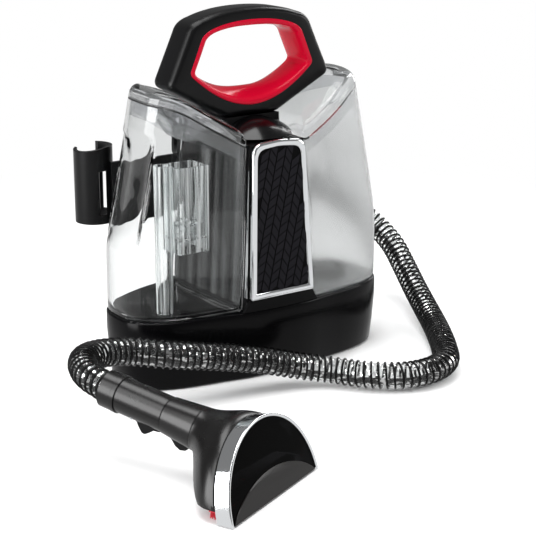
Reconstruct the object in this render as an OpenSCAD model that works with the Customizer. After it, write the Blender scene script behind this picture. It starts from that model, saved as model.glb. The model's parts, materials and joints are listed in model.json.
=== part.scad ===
// Portable upright spot extractor: base, two lift-off tanks, handle, hose and hand tool.
// Millimetres, +Z up, +X right, -Y is the front. The origin is on the floor under the
// widest line of the base, in the machine's plane of symmetry.

/* [Base] */
// Half width of the base outline
body_half_w = 145; // [138:1:152]
// Depth of the outline in front of its widest line
front_depth = 60; // [57:1:63]
// Depth of the outline behind its widest line
back_depth = 74; // [74:1:80]
// Height of the seam between base and tanks
base_h = 66; // [64:1:70]
// How much narrower the base is at the floor, each side
base_taper = 4; // [2:0.5:6]
// Forward swell of the base under the front panel
nose_d = 6; // [4:0.5:8]
// Wall of the moulded housings
wall = 2.5; // [2:0.1:3]
// Thickness of the bottom cover
cover_t = 3; // [2.5:0.1:4]
// Radius of a rubber foot pad
pad_r = 9; // [7:0.5:11]
// Radius of a screw shank
screw_r = 1.9; // [1.5:0.1:2.2]

/* [Tower] */
// Half width of the tower at the seam
tower_half_low = 38; // [37:0.5:40]
// Half width of the tower at the tanks' inner corner
tower_half_top = 30; // [29:0.5:32]
// Back wall of the tower behind the origin
tower_back = 70; // [69:0.5:72]
// Width of the chrome frame's border
bezel_w = 6.5; // [5:0.5:8]
// Thickness of the chrome frame
bezel_t = 6; // [5:0.5:7]
// Height of the front sill above the seam
sill_h = 11; // [8:0.5:13]
// Radius of the button's dome
dome_r = 52; // [50:0.5:54]
// Press of the power button
button_travel = 2.5; // [1.5:0.1:2.6]

/* [Handle] */
// Half width of the handle at its shoulders
handle_half_w = 91; // [88:1:95]
// Half width of the handle at its top corners
handle_top_half = 65; // [62:1:68]
// Height of the handle's crown
handle_top_z = 341; // [338:1:346]
// Front-to-back depth of the handle
handle_depth = 34; // [30:1:38]
// Width of the red ring's border
ring_w = 7; // [5:0.5:8]

/* [Tanks] */
// Height of the tank's top at its inner front corner
tank_corner_z = 228; // [226:1:232]
// Rise of the tank's top outwards, per millimetre
tank_rise = 0.53; // [0.48:0.01:0.56]
// Crown of the tank's top, front to back
tank_crown = 12; // [10:0.5:14]
// Tank wall
tank_wall = 2.5; // [2:0.1:3]
// Height of the lid's rim
lid_h = 12; // [10:0.5:14]
// Depth of the lid's collar below its rim
skirt_h = 14; // [10:0.5:18]
// Thickness of the lid's gasket
gasket_t = 1.5; // [1:0.1:2]
// Depth of the finger recess in the tank's side
dent_d = 11; // [6:0.5:14]
// Radius of the dirty tank's standpipe
pipe_r = 8; // [7:0.5:9]
// Height of the standpipe's mouth
pipe_top_z = 208; // [200:1:214]
// Radius of the float
float_r = 11.5; // [10:0.5:12.5]
// Radius of the filler cap
cap_r = 18; // [16:0.5:20]

/* [Hose] */
// Outer diameter of the hose over its ribs
hose_d = 26; // [24:0.5:26]
// Bore of the hose
hose_bore = 20; // [18:0.5:20.5]
// Number of ribs
rib_count = 150; // [120:2:170]
// Outer diameter of the solution line in the hose
line_d = 6; // [5:0.5:7]

/* [Back] */
// Inner radius of the tool clip
clip_r = 15.3; // [15.1:0.1:15.6]
// Wall of the tool clip
clip_wall = 3.5; // [3:0.1:4]
// Radius of the cord gland's bore
gland_r = 3.6; // [3:0.1:4.2]

/* [Tool] */
// Radius of the nozzle's arch
arch_r = 66; // [62:1:68]
// Depth of the chrome arch band
trim_d = 14; // [12:0.5:16]
// Lean of the nozzle face back from upright
nozzle_lean = 15; // [13:0.5:17]
// Outer radius of the grip
grip_r = 15; // [15:0.1:15.6]
// Outer radius of the tool's neck
neck_r = 18.5; // [17.5:0.1:19.5]
// Outer radius of the suction tube in the grip
tube_r = 8.2; // [7.8:0.1:8.4]
// Radius of the trigger's pin
pin_r = 1.5; // [1.3:0.1:1.7]

/* [Hidden] */
$fn = 48;
// general gap, running clearance on round fits, and a snug seat
fit = 0.3;
run = 0.05;
seat = 0.02;
deck_t = 3;
front_power = 3;
back_power = 2.2;
nose_half_w = 50;
base_n = 14;
// tank outline: points on each arc, lean of the outer side, crown of the top
arc_n = 11;
tank_n = 2 * arc_n + 7;
tank_r = 5;
lean_start = 112;
lean_blend = 40;
lean_slope = 0.2;
front_share = 0.2;
back_share = 0.5;
crown_y = 6;
crown_half = front_depth + 6;
tank_gap = 0.6;
side_gap = 1;
tank_z0 = base_h + tank_gap;
tank_mid_z = 250;
rim_r = 7;
tank_levels = [0.08, 0.2, 0.3, 0.36, 0.42, 0.52, 0.62, 0.72, 0.8, 0.88, 1];
dent_z = 184;
dent_half_h = 50;
dent_half_l = 30;
// handle
head_y = handle_depth / 2;
head_low_z = tank_corner_z + tank_crown + 1;
head_c = [0, 288];
shoulder_z = head_low_z + tank_rise * (handle_half_w - tower_half_top);
ring_low_z = 251;
ring_side = handle_half_w - 22;
ring_top_half = handle_top_half - 11;
ring_top_z = handle_top_z - 11;
// front panel frame
bezel_y = front_depth + nose_d + 1;
bezel_z = base_h + sill_h + fit;
bezel_lean = 2.6;
bezel_half_low = tower_half_low - 2;
bezel_half_top = tower_half_top - 1;
bezel_h = tank_corner_z - bezel_z - 3;
sill_bow = 300;
tower_top_z = tank_corner_z - 6;
// inside the machine
motor_y = -2;
motor_r = 29;
fan_r = 36;
fan_z0 = base_h - 46;
fan_z1 = fan_z0 + 26;
motor_z1 = fan_z1 + 74;
shaft_r = 4;
duct_half = 17;
duct_y0 = 10 - front_depth;
duct_y1 = duct_y0 + 11;
air_z0 = tank_corner_z - 44;
air_z1 = air_z0 + 18;
inlet_r = 10;
inlet_y = tower_back - wall - inlet_r - 0.5;
port_x = 8;
outlet_x = port_x + inlet_r + 6;
tube_out_r = 3.4;
port_z = 150;
port_r = hose_d / 2;
elbow = 7;
hose_y = 98;
cuff_r = port_r + 3;
cuff_bore = port_r + 0.4;
pipe_at = [39 - body_half_w, 33 - front_depth];
valve_at = [body_half_w - 50, -8];
shield_half = [16, 14];
float_at = [pipe_at.x + pipe_r + shield_half.x, pipe_at.y];
shield_t = 1.8;
ledge_z = pipe_top_z - 68;
float_h = 12;
pump_at = [body_half_w - 63, 14, base_h - 36];
hook_x = -16;
hook_z = [base_h + 46, base_h + 126];
gland_at = [hook_x, base_h + 10];
clip_at = [-108, 98];
clip_z0 = 131;
clip_z1 = 206;
half_at = [[body_half_w - 15, 4], [60, 14 - front_depth], [body_half_w - 57, back_depth - 28]];
screw_at = concat(half_at, [for (p = half_at) [-p.x, p.y]]);
half_pad = [[body_half_w - 49, 30 - front_depth], [body_half_w - 41, back_depth - 48]];
pad_at = concat(half_pad, [for (p = half_pad) [-p.x, p.y]]);
// the hand tool, standing on its lip in front of the machine
tool_at = [-166, -291];
tool_yaw = 24.4;
grip_at = [100, 48.3];
grip_pitch = 10.7;
grip_l = 46;
collar_l = 62;
hose_in = 36;
neck_l = 30;
tube_z = grip_r - 2.2 - tube_r - fit;
trigger_at = [30, -11];
floor_z = 0.5;
sole_z = 10;
tool_n = 32;
brush_y = trim_d + 8.5;
// route of the hose, from its socket in the machine's cuff to its socket in the grip
route = [
    [38, 98, 150], [64, 98, 150], [98, 98, 149], [132, 99, 143], [164, 101, 130],
    [194, 101, 112], [216, 94, 94], [229, 78, 78], [231, 53, 63], [224, 25, 47], [214, -5, 32],
    [202, -36, 21], [187, -67, 15], [168, -98, 14], [146, -130, 14], [123, -158, 14],
    [94, -170, 14], [64, -166, 14], [38, -145, 14], [18, -119, 15], [-9, -103, 20],
    [-40, -95, 29], [-72, -90, 37], [-104, -86, 44], [-136, -80, 50], [-169, -67, 56],
    [-201, -70, 61], [-225, -89, 65], [-236, -117, 64], [-232.5, -144.4, 59.8],
    [-227.2, -156, 57.4], [-221.9, -167.7, 55]
];
c_black = "#17181a";
c_gloss = "#0d0e10";
c_red = "#c0182b";
c_chrome = "#cfd3d6";
c_clear = "#c9d2d6";
c_smoke = "#3a3f44";
c_rubber = "#26272a";
c_metal = "#9aa0a6";
c_natural = "#d9d8d2";

// a closed skin through rings of equal count, capped at both ends
function side_faces(m, n, wrap) = [
    for (i = [0 : m - (wrap ? 1 : 2)], j = [0 : n - 1])
        let (k = (i + 1) % m, l = (j + 1) % n)
        each [[i * n + j, k * n + l, i * n + l], [i * n + j, k * n + j, k * n + l]]
];

module skin(rings) {
    m = len(rings);
    n = len(rings[0]);
    low = [[for (j = [0 : n - 1]) j]];
    high = [[for (j = [n - 1 : -1 : 0]) (m - 1) * n + j]];
    polyhedron([for (r = rings) each r], concat(low, high, side_faces(m, n, false)), convexity = 6);
}

// a skin whose last ring joins its first, like a tyre
module loop_skin(rings) {
    polyhedron([for (r = rings) each r], side_faces(len(rings), len(rings[0]), true), convexity = 6);
}

function mix(a, b, t) = a + (b - a) * t;
function bez(a, c, b, n) = [for (i = [0 : n - 1]) let (t = i / n) mix(mix(a, c, t), mix(c, b, t), t)];
function line(a, b, n) = [for (i = [0 : n - 1]) mix(a, b, i / n)];
function unit(v) = v / norm(v);

// rings of a round pipe along a bent path, mitred at each bend
function aim(points, i) = unit(points[i + 1] - points[i]);
function mitre(points, i) =
    i == len(points) - 1 ? aim(points, i - 1) : unit(aim(points, i - 1) + aim(points, i));
function first_ring(points, r, n) =
    let (d = aim(points, 0), a = unit(cross(d, abs(d.z) > 0.7 ? [0, 1, 0] : [0, 0, 1])), b = cross(a, d))
    [for (j = [0 : n - 1]) points[0] + r * (cos(360 * j / n) * a + sin(360 * j / n) * b)];
function carried(ring, points, i) =
    let (d = aim(points, i - 1), w = mitre(points, i))
    [for (p = ring) p + d * ((points[i] - p) * w) / (d * w)];
function swept(points, ring, i = 0) =
    i == len(points) - 1 ? [ring] : concat([ring], swept(points, carried(ring, points, i + 1), i + 1));

module pipe(points, r, bore, n = 16) {
    a = swept(points, first_ring(points, r, n));
    b = swept(points, first_ring(points, bore, n));
    loop_skin(concat(a, [for (i = [len(b) - 1 : -1 : 0]) b[i]]));
}

// outline of base and tanks
function spread(k, n, lo, hi) = lo + (hi - lo) * sin(90 * k / n);
function front_y(x, a, b) = -b * pow(max(0, 1 - pow(abs(x) / a, front_power)), 1 / front_power);
function back_y(x, a, b) = b * pow(max(0, 1 - pow(abs(x) / a, back_power)), 1 / back_power);
function nose(x) = nose_d * exp(-pow(x / nose_half_w, 4));
function side_lean(z) =
    let (d = z - lean_start)
    d <= 0 ? 0 : d < lean_blend ? lean_slope * d * d / (2 * lean_blend) : lean_slope * (d - lean_blend / 2);
function tower_half(z) =
    mix(tower_half_low, tower_half_top, (z - base_h) / (tank_corner_z - base_h));

function base_ring(inset) =
    let (a = body_half_w - inset, f = front_depth - inset, b = back_depth - inset)
    concat(
        [for (k = [base_n : -1 : 1]) let (x = spread(k, base_n, 0, a)) [x, back_y(x, a, b)]],
        [for (k = [0 : base_n - 1]) let (x = spread(k, base_n, 0, a)) [-x, back_y(x, a, b)]],
        [for (k = [base_n : -1 : 1]) let (x = spread(k, base_n, 0, a)) [-x, front_y(x, a, f) - nose(x)]],
        [for (k = [0 : base_n - 1]) let (x = spread(k, base_n, 0, a)) [x, front_y(x, a, f) - nose(x)]]
    );
function base_level(inset, z) = [for (p = base_ring(inset)) [p.x, p.y, z]];

// a wedge of the tower, thinned by an inset, between two depths
module tower_block(inset, y0, y1, z0, z1) {
    a = tower_half(z0) - inset;
    b = tower_half(z1) - inset;
    translate([0, y1, 0])
        rotate([90, 0, 0])
            linear_extrude(y1 - y0)
                polygon([[-a, z0], [a, z0], [b, z1], [-b, z1]]);
}

module face_frame() {
    translate([0, -bezel_y, bezel_z])
        rotate([-bezel_lean, 0, 0])
            children();
}

function bezel_half() = let (a = bezel_half_low, b = bezel_half_top, h = bezel_h) concat(
    line([0, 0], [a, 0], 2),
    line([a, 0], [b + 0.5, h - 12], 3),
    bez([b + 0.5, h - 12], [b, h - 2.5], [b - 9, h - 1.5], 5),
    bez([b - 9, h - 1.5], [6, h], [0, h], 3),
    [[0, h]]
);
function bezel_outline(inset) =
    let (h = bezel_half(), c = [0, bezel_h / 2])
    [for (p = concat(h, [for (i = [len(h) - 2 : -1 : 1]) [-h[i].x, h[i].y]]))
        let (s = [(bezel_half_low - inset) / bezel_half_low, (bezel_h - 2 * inset) / bezel_h])
        [p.x * s.x, c.y + (p.y - c.y) * s.y]];

module bezel_plate(inset, y0, t) {
    face_frame()
        translate([0, y0 + t, 0])
            rotate([90, 0, 0])
                linear_extrude(t)
                    polygon(bezel_outline(inset));
}

// everything in front of the frame's back, at a given depth behind it
module front_cut(depth) {
    face_frame()
        translate([-100, bezel_t + depth - 200, -120])
            cube([200, 200, 400]);
}

// the base
module base_housing() {
    color(c_gloss)
        difference() {
            union() {
                skin([
                    base_level(wall + 3, base_h - deck_t),
                    base_level(wall, base_h - deck_t - 3),
                    base_level(wall + base_taper, cover_t + 1),
                    base_level(wall + base_taper, 0),
                    base_level(base_taper + 1.2, 0),
                    base_level(base_taper, 1.5),
                    base_level(base_taper * 0.45, base_h * 0.35),
                    base_level(0, base_h * 0.75),
                    base_level(0, base_h - 1.6),
                    base_level(0.5, base_h - 0.5),
                    base_level(1.6, base_h)
                ]);
                for (p = screw_at)
                    translate([p.x, p.y, cover_t])
                        cylinder(r = screw_r + 2.6, h = base_h - deck_t - cover_t + 1);
            }
            for (p = screw_at)
                translate([p.x, p.y, cover_t - 1])
                    cylinder(r = screw_r, h = 20);
            translate([0, motor_y, base_h - 12])
                cylinder(r = motor_r + 1, h = 20);
            translate([-duct_half - 1, duct_y0 - 1, base_h - 12])
                cube([2 * duct_half + 2, duct_y1 - duct_y0 + 2, 20]);
            translate([port_x, inlet_y, base_h - 12])
                cylinder(r = inlet_r + 1, h = 20);
            translate([outlet_x, inlet_y, base_h - 12])
                cylinder(r = tube_out_r + 1, h = 20);
            translate([pipe_at.x, pipe_at.y, base_h - 12])
                cylinder(r = inlet_r + 0.2, h = 20);
            translate([pipe_at.x, pipe_at.y, base_h - 1.4])
                cylinder(r = inlet_r + 4.2, h = 20);
            translate([valve_at.x, valve_at.y, base_h - 12])
                cylinder(r = 8.2, h = 20);
        }
}

module bottom_cover() {
    color(c_black)
        difference() {
            linear_extrude(cover_t)
                polygon(base_ring(wall + base_taper + fit));
            for (p = pad_at)
                translate([p.x, p.y, -1])
                    cylinder(r = pad_r, h = 3);
            for (p = screw_at)
                translate([p.x, p.y, -1]) {
                    cylinder(r = screw_r + 0.3, h = 10);
                    cylinder(r = screw_r + 2.2, h = 2.7);
                }
            for (i = [-3 : 3])
                translate([64 + 8 * i - 2, 30, -1])
                    cube([4, 18, 10]);
        }
}

module foot_pads() {
    color(c_rubber)
        for (p = pad_at)
            translate([p.x, p.y, 0])
                cylinder(r = pad_r - 0.1, h = 2);
}

module base_screws() {
    color(c_metal)
        for (p = screw_at)
            translate([p.x, p.y, 0.2]) {
                difference() {
                    cylinder(r = screw_r + 1.8, h = 1.5);
                    translate([-2.4, -0.4, -1])
                        cube([4.8, 0.8, 1.8]);
                    translate([-0.4, -2.4, -1])
                        cube([0.8, 4.8, 1.8]);
                }
                translate([0, 0, 1])
                    cylinder(r = screw_r - 0.05, h = 16);
            }
}

// the tower, with the bowed sill under the front panel
module sill() {
    intersection() {
        translate([0, bezel_t - bezel_y + 0.6, 0])
            rotate([90, 0, 0])
                linear_extrude(20)
                    polygon([
                        [-bezel_half_low - 7, base_h], [bezel_half_low + 7, base_h],
                        [bezel_half_low, base_h + sill_h], [-bezel_half_low, base_h + sill_h]
                    ]);
        translate([0, sill_bow - front_depth - nose_d + 0.4, base_h - 1])
            cylinder(r = sill_bow, h = sill_h + 2, $fn = 180);
    }
}

module tower_front() {
    color(c_black)
        difference() {
            union() {
                sill();
                difference() {
                    tower_block(0, -front_depth - 8, 0, base_h, tower_top_z);
                    front_cut(0);
                }
                tower_block(0, -head_y, 0, tower_top_z - 1, head_low_z);
            }
            difference() {
                tower_block(wall, -front_depth - 8, 1, base_h - 1, tower_top_z - wall);
                front_cut(wall);
            }
            tower_block(wall, -head_y + wall, 1, tower_top_z - 6, head_low_z + 1);
            translate([0, -head_y - 22, tower_top_z - 8])
                cylinder(r = 4 + run, h = 20);
            translate([-60, duct_y0 + 2, air_z0])
                cube([60, duct_y1 - duct_y0 - 4, air_z1 - air_z0]);
        }
}

module tower_profile(inset) {
    rotate([90, 0, 90])
        translate([0, 0, -60])
            linear_extrude(120)
                polygon([
                    [inset > 0 ? -1 : 0, 0], [tower_back - inset, 0],
                    [tower_back - inset, tank_corner_z - 16],
                    [head_y + 6, head_low_z + 6 - inset], [head_y + 1, head_low_z - inset],
                    [inset > 0 ? -1 : 0, head_low_z - inset]
                ]);
}

module tower_rear() {
    color(c_black)
        difference() {
            intersection() {
                tower_block(0, 0, tower_back, base_h, head_low_z);
                tower_profile(0);
            }
            intersection() {
                tower_block(wall, -1, tower_back, base_h - 1, head_low_z - wall);
                tower_profile(wall);
            }
            translate([port_x, tower_back - 8, port_z])
                rotate([-90, 0, 0])
                    cylinder(r = port_r - 3 + fit, h = 20);
            translate([gland_at.x, tower_back - 8, gland_at.y])
                rotate([-90, 0, 0])
                    cylinder(r = gland_r + 3, h = 20);
            translate([hook_x, tower_back - 8, hook_z[1]])
                rotate([-90, 0, 0])
                    cylinder(r = 4 + run, h = 20);
        }
}

// handle
function mirrored(h) = concat(h, [for (i = [len(h) - 2 : -1 : 1]) [-h[i].x, h[i].y]]);
function head_outline() =
    let (a = [tower_half_top, head_low_z], b = [handle_half_w, shoulder_z],
        c = [handle_top_half, handle_top_z - 11], u = unit(b - a), w = unit(c - b))
    mirrored(concat(
        line([0, head_low_z], a, 3),
        line(a, b - 7 * u, 6),
        bez(b - 7 * u, b, b + 7 * w, 3),
        line(b + 7 * w, c - 9 * w, 4),
        bez(c - 9 * w, c + [0.5, 0.5], c + [-12, 3.5], 4),
        bez(c + [-12, 3.5], [handle_top_half / 2, handle_top_z], [0, handle_top_z], 4),
        [[0, handle_top_z]]
    ));
function ring_outline() =
    let (c = [ring_side, shoulder_z + 11], d = [ring_top_half, ring_top_z - 10], w = unit(d - c),
        u = unit(c - [ring_side * 0.45, ring_low_z]))
    mirrored(concat(
        bez([0, ring_low_z], [ring_side * 0.45, ring_low_z], c - 5 * u, 9),
        bez(c - 5 * u, c, c + 4 * w, 3),
        line(c + 4 * w, d - 6 * w, 4),
        bez(d - 6 * w, d, d + [-9, 3.5], 4),
        bez(d + [-9, 3.5], [ring_top_half / 2, ring_top_z], [0, ring_top_z], 4),
        [[0, ring_top_z]]
    ));
// an outline drawn in towards the handle's middle, at a depth
function drawn(o, d, y) = [for (p = o) let (q = p - d * unit(p - head_c)) [q.x, y, q.y]];
function ring_level(d, sill, y) = [
    for (p = ring_outline())
        let (low = max(0, (head_c.y - p.y) / (head_c.y - ring_low_z)),
            q = p - (d + sill * low) * unit(p - head_c))
        [q.x, y, q.y]
];

module handle_half() {
    o = head_outline();
    h = ring_outline();
    loop_skin([
        drawn(o, 0, 0), drawn(o, 0, -head_y + 9), drawn(o, 1, -head_y + 4.5), drawn(o, 3, -head_y + 1.5),
        drawn(o, 6, -head_y), drawn(h, 0, -head_y), drawn(h, 0, 0), drawn(h, -wall, 0),
        drawn(h, -wall, -head_y + wall), drawn(o, wall + 4, -head_y + wall + 1), drawn(o, wall, 0)
    ]);
}

module handle_front() {
    color(c_black)
        handle_half();
}

module handle_rear() {
    color(c_black)
        mirror([0, 1, 0])
            handle_half();
}

module handle_ring() {
    y = head_y + 0.6;
    color(c_red)
        loop_skin([
            ring_level(seat, 0, y - 0.8), ring_level(seat, 0, 0.8 - y), ring_level(1, 0, -y),
            ring_level(ring_w * 0.5, 0, -y), ring_level(ring_w * 0.8, 1, -y + 2.5),
            ring_level(ring_w, 7, -head_y * 0.3), ring_level(ring_w, 8, head_y * 0.3),
            ring_level(ring_w * 0.8, 5, y - 2.5), ring_level(ring_w * 0.5, 2, y),
            ring_level(1, 0, y)
        ]);
}

// front panel and power button
module front_bezel() {
    color(c_chrome)
        difference() {
            bezel_plate(0, 0, bezel_t);
            bezel_plate(bezel_w, -1, bezel_t + 2);
        }
}

module front_panel() {
    color(c_gloss)
        bezel_plate(bezel_w + 0.1, 1.2, bezel_t - 1.2);
}

module power_button() {
    color(c_gloss) {
        intersection() {
            translate([0, -head_y, head_low_z - dome_r])
                sphere(dome_r, $fn = 96);
            difference() {
                tower_block(1.5, -front_depth, -head_y - 0.4,
                    tower_top_z + button_travel + 0.5, head_low_z + 5);
                front_cut(0.5);
            }
        }
        translate([0, -head_y - 22, tower_top_z - 4])
            cylinder(r = 4, h = button_travel + 6);
    }
}

module power_switch() {
    z = tower_top_z - 4 - button_travel - 0.5;
    color(c_rubber) {
        translate([-9, duct_y1 + 0.5, z - 18])
            cube([18, 14, 18]);
        translate([-tower_half(z - 13) + wall, duct_y1 + 2, z - 16])
            cube([2 * tower_half(z - 13) - 2 * wall, 10, 3]);
    }
}

// suction and pump
module suction_motor() {
    color(c_metal)
        difference() {
            union() {
                translate([0, motor_y, fan_z1 + 2])
                    cylinder(r = motor_r, h = motor_z1 - fan_z1 - 12);
                translate([0, motor_y, motor_z1 - 12])
                    cylinder(r = 14, h = 12);
            }
            translate([0, motor_y, fan_z1])
                cylinder(r = shaft_r + fit, h = 40);
        }
}

module motor_mount() {
    color(c_rubber)
        translate([0, motor_y, fan_z1])
            difference() {
                cylinder(r = motor_r, h = 2);
                translate([0, 0, -1])
                    cylinder(r = 16, h = 4);
            }
}

module fan_housing() {
    color(c_black)
        translate([0, motor_y, 0])
            difference() {
                union() {
                    translate([0, 0, fan_z0])
                        cylinder(r = fan_r, h = fan_z1 - fan_z0);
                    translate([20, -8, fan_z0 + 4])
                        cube([28, 16, fan_z1 - fan_z0 - 8]);
                    for (a = [40, 140, 215, 325])
                        rotate(a)
                            translate([fan_r - 5, 0, cover_t])
                                cylinder(r = 3, h = fan_z0 - cover_t + 1);
                }
                translate([0, 0, fan_z0 + 2])
                    cylinder(r = fan_r - 2, h = fan_z1 - fan_z0 - 4);
                translate([20, -6, fan_z0 + 6])
                    cube([40, 12, fan_z1 - fan_z0 - 12]);
                translate([0, 0, fan_z0 - 1])
                    cylinder(r = 14, h = 6);
                translate([0, 0, fan_z1 - 4])
                    cylinder(r = shaft_r + 2, h = 6);
            }
}

module fan_impeller() {
    color(c_metal)
        translate([0, motor_y, 0]) {
            translate([0, 0, fan_z0 + 5])
                cylinder(r = 8, h = 14);
            translate([0, 0, fan_z0 + 16])
                cylinder(r = fan_r - 4, h = 2);
            for (a = [0 : 40 : 320])
                rotate(a)
                    translate([7, -0.8, fan_z0 + 6])
                        cube([fan_r - 12, 1.6, 11]);
            translate([0, 0, fan_z0 + 6])
                cylinder(r = shaft_r, h = 50);
        }
}

module suction_duct() {
    x = tower_half(air_z1) - wall - 0.4;
    color(c_black)
        difference() {
            union() {
                translate([-duct_half, duct_y0, 6])
                    cube([2 * duct_half, duct_y1 - duct_y0, air_z1 + 2 - 6]);
                translate([-x, duct_y0, air_z0 - 2])
                    cube([x, duct_y1 - duct_y0, air_z1 - air_z0 + 4]);
                translate([-duct_half, duct_y0, 6])
                    cube([2 * duct_half, motor_y - duct_y0 + 17, fan_z0 - 6]);
            }
            translate([-duct_half + 2, duct_y0 + 2, 8])
                cube([2 * duct_half - 4, duct_y1 - duct_y0 - 4, air_z1 - 8]);
            translate([-x - 1, duct_y0 + 2, air_z0])
                cube([x + 1, duct_y1 - duct_y0 - 4, air_z1 - air_z0]);
            translate([-duct_half + 2, duct_y0 + 2, 8])
                cube([2 * duct_half - 4, motor_y - duct_y0 + 13, fan_z0 - 10]);
            translate([0, motor_y, fan_z0 - 6])
                cylinder(r = 13, h = 10);
        }
}

module inlet_duct() {
    z = fan_z1;
    color(c_black)
        pipe([
            [port_x, tower_back - wall, port_z], [port_x, inlet_y, port_z], [port_x, inlet_y, z],
            [pipe_at.x + 46, inlet_y - 11, z], [pipe_at.x, pipe_at.y, z], [pipe_at.x, pipe_at.y, base_h - 1.4]
        ], inlet_r, inlet_r - 1.6);
}

module port_seal() {
    color(c_rubber)
        translate([pipe_at.x, pipe_at.y, base_h - 1.4])
            difference() {
                cylinder(r = inlet_r + 4, h = 1.4 + tank_gap);
                translate([0, 0, -1])
                    cylinder(r = pipe_r - 1.5, h = 5);
            }
}

module air_seal() {
    color(c_rubber)
        difference() {
            intersection() {
                translate([-60, duct_y0, air_z0 - 2])
                    cube([60, duct_y1 - duct_y0, air_z1 - air_z0 + 4]);
                tower_block(-side_gap + 0.2, -front_depth, 0, base_h, tower_top_z);
            }
            tower_block(0, -front_depth - 1, 1, base_h, tower_top_z);
            translate([-70, duct_y0 + 2, air_z0])
                cube([70, duct_y1 - duct_y0 - 4, air_z1 - air_z0]);
        }
}

module pump() {
    color(c_natural)
        translate(pump_at) {
            translate([-24, 0, 0])
                rotate([0, 90, 0])
                    cylinder(r = 15, h = 48);
            translate([-14, -17, -pump_at.z + cover_t])
                cube([28, 34, pump_at.z - cover_t - 4]);
            translate([-32, 0, 0])
                rotate([0, 90, 0])
                    cylinder(r = 2.2, h = 64);
        }
}

module pump_inlet_tube() {
    color(c_clear)
        pipe([
            [valve_at.x, valve_at.y, base_h - 14], [valve_at.x, valve_at.y, base_h - 22],
            [pump_at.x + 36, valve_at.y + 6, base_h - 28],
            [pump_at.x + 36, pump_at.y, pump_at.z], [pump_at.x + 25, pump_at.y, pump_at.z]
        ], tube_out_r, 2.25);
}

module pump_outlet_tube() {
    color(c_clear)
        pipe([
            [pump_at.x - 25, pump_at.y, pump_at.z], [pump_at.x - 33, pump_at.y, pump_at.z],
            [pump_at.x - 40, pump_at.y + 30, pump_at.z + 4],
            [outlet_x, inlet_y, pump_at.z + 10], [outlet_x, inlet_y, port_z - 22]
        ], tube_out_r, 2.25);
}

module valve_seat() {
    color(c_rubber)
        translate([valve_at.x, valve_at.y, 0])
            difference() {
                union() {
                    translate([0, 0, base_h - deck_t - 3])
                        cylinder(r = 8, h = deck_t + 3 + tank_gap);
                    translate([0, 0, base_h - 14])
                        cylinder(r = 2.2, h = 10);
                    translate([0, 0, base_h - deck_t - 6])
                        cylinder(r = 12, h = 6);
                }
                translate([0, 0, base_h - 4])
                    cylinder(r = 6, h = 10);
                translate([0, 0, base_h - 20])
                    cylinder(r = 1.2, h = 30);
            }
}

// the back
module hose_port() {
    r = port_r - 3;
    n = 24;
    p = [
        [port_x, tower_back - wall, port_z], [port_x, hose_y - elbow, port_z],
        [port_x + elbow, hose_y, port_z], [port_x + port_r + 7, hose_y, port_z]
    ];
    a = swept(p, first_ring(p, r, n));
    b = swept(p, first_ring(p, r - 2, n));
    // the flange's rings: radius, and distance from the tower's back wall
    flange = [[r, 0], [port_r + 4, 0], [port_r + 4, 4], [r, 4]];
    color(c_black)
        loop_skin(concat(
            [a[0]],
            [for (f = flange) [for (v = first_ring(p, f[0], n)) v + [0, wall + f[1], 0]]],
            [a[1], a[2], a[3], b[3], b[2], b[1], b[0]]
        ));
}

module hose_cuff() {
    x0 = port_x + port_r;
    color(c_black)
        translate([0, hose_y, port_z])
            rotate([0, 90, 0])
                difference() {
                    union() {
                        translate([0, 0, x0])
                            cylinder(r = cuff_r, h = route[1].x - x0);
                        translate([0, 0, x0])
                            cylinder(r = cuff_r + 1.2, h = 5);
                    }
                    translate([0, 0, route[0].x - 0.2])
                        cylinder(r = cuff_bore, h = 60);
                    translate([0, 0, x0 - 1])
                        cylinder(r = port_r - 3 + 0.1, h = 60);
                }
}

module cord_gland() {
    color(c_rubber)
        translate([gland_at.x, tower_back, gland_at.y])
            rotate([-90, 0, 0])
                difference() {
                    union() {
                        translate([0, 0, -wall - 2])
                            cylinder(r = gland_r + 2.9, h = 18);
                        cylinder(r = gland_r + 5, h = 3);
                    }
                    translate([0, 0, -10])
                        cylinder(r = gland_r, h = 40);
                }
}

module hook(up) {
    rotate([-90, 0, 0])
        cylinder(r = 7, h = 24);
    translate([-7, 20, up ? 0 : -26])
        cube([14, 4, 26]);
    translate([-7, 20, up ? 22 : -26])
        cube([14, 8, 4]);
}

module cord_hook_lower() {
    color(c_black)
        translate([hook_x, tower_back, hook_z[0]])
            hook(false);
}

module cord_hook_upper() {
    color(c_black)
        translate([hook_x, tower_back, hook_z[1]]) {
            translate([0, fit, 0])
                hook(true);
            translate([0, -wall - 2, 0])
                rotate([-90, 0, 0])
                    cylinder(r = 4, h = 10);
        }
}

module tool_clip() {
    r = clip_r + clip_wall;
    color(c_black)
        difference() {
            union() {
                translate([clip_at.x, clip_at.y, clip_z0])
                    cylinder(r = r, h = clip_z1 - clip_z0);
                translate([clip_at.x + 9, clip_at.y - 20, clip_z0])
                    cube([-clip_at.x - 9 - 25, 4, 60]);
                translate([-33, tower_back, clip_z0])
                    cube([8, 12, 60]);
            }
            translate([clip_at.x, clip_at.y, clip_z0 - 1])
                cylinder(r = clip_r, h = 100);
            translate([clip_at.x - 11, clip_at.y + 4, clip_z0 - 1])
                cube([22, 30, 100]);
            translate([clip_at.x, clip_at.y, clip_z0 + 9])
                rotate(55)
                    translate([-40, -13.2, 0])
                        cube([80, 6, 43]);
            translate([clip_at.x - 40, clip_at.y - 30, clip_z1 - 8])
                rotate([0, -10, 0])
                    cube([90, 70, 40]);
        }
}

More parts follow.
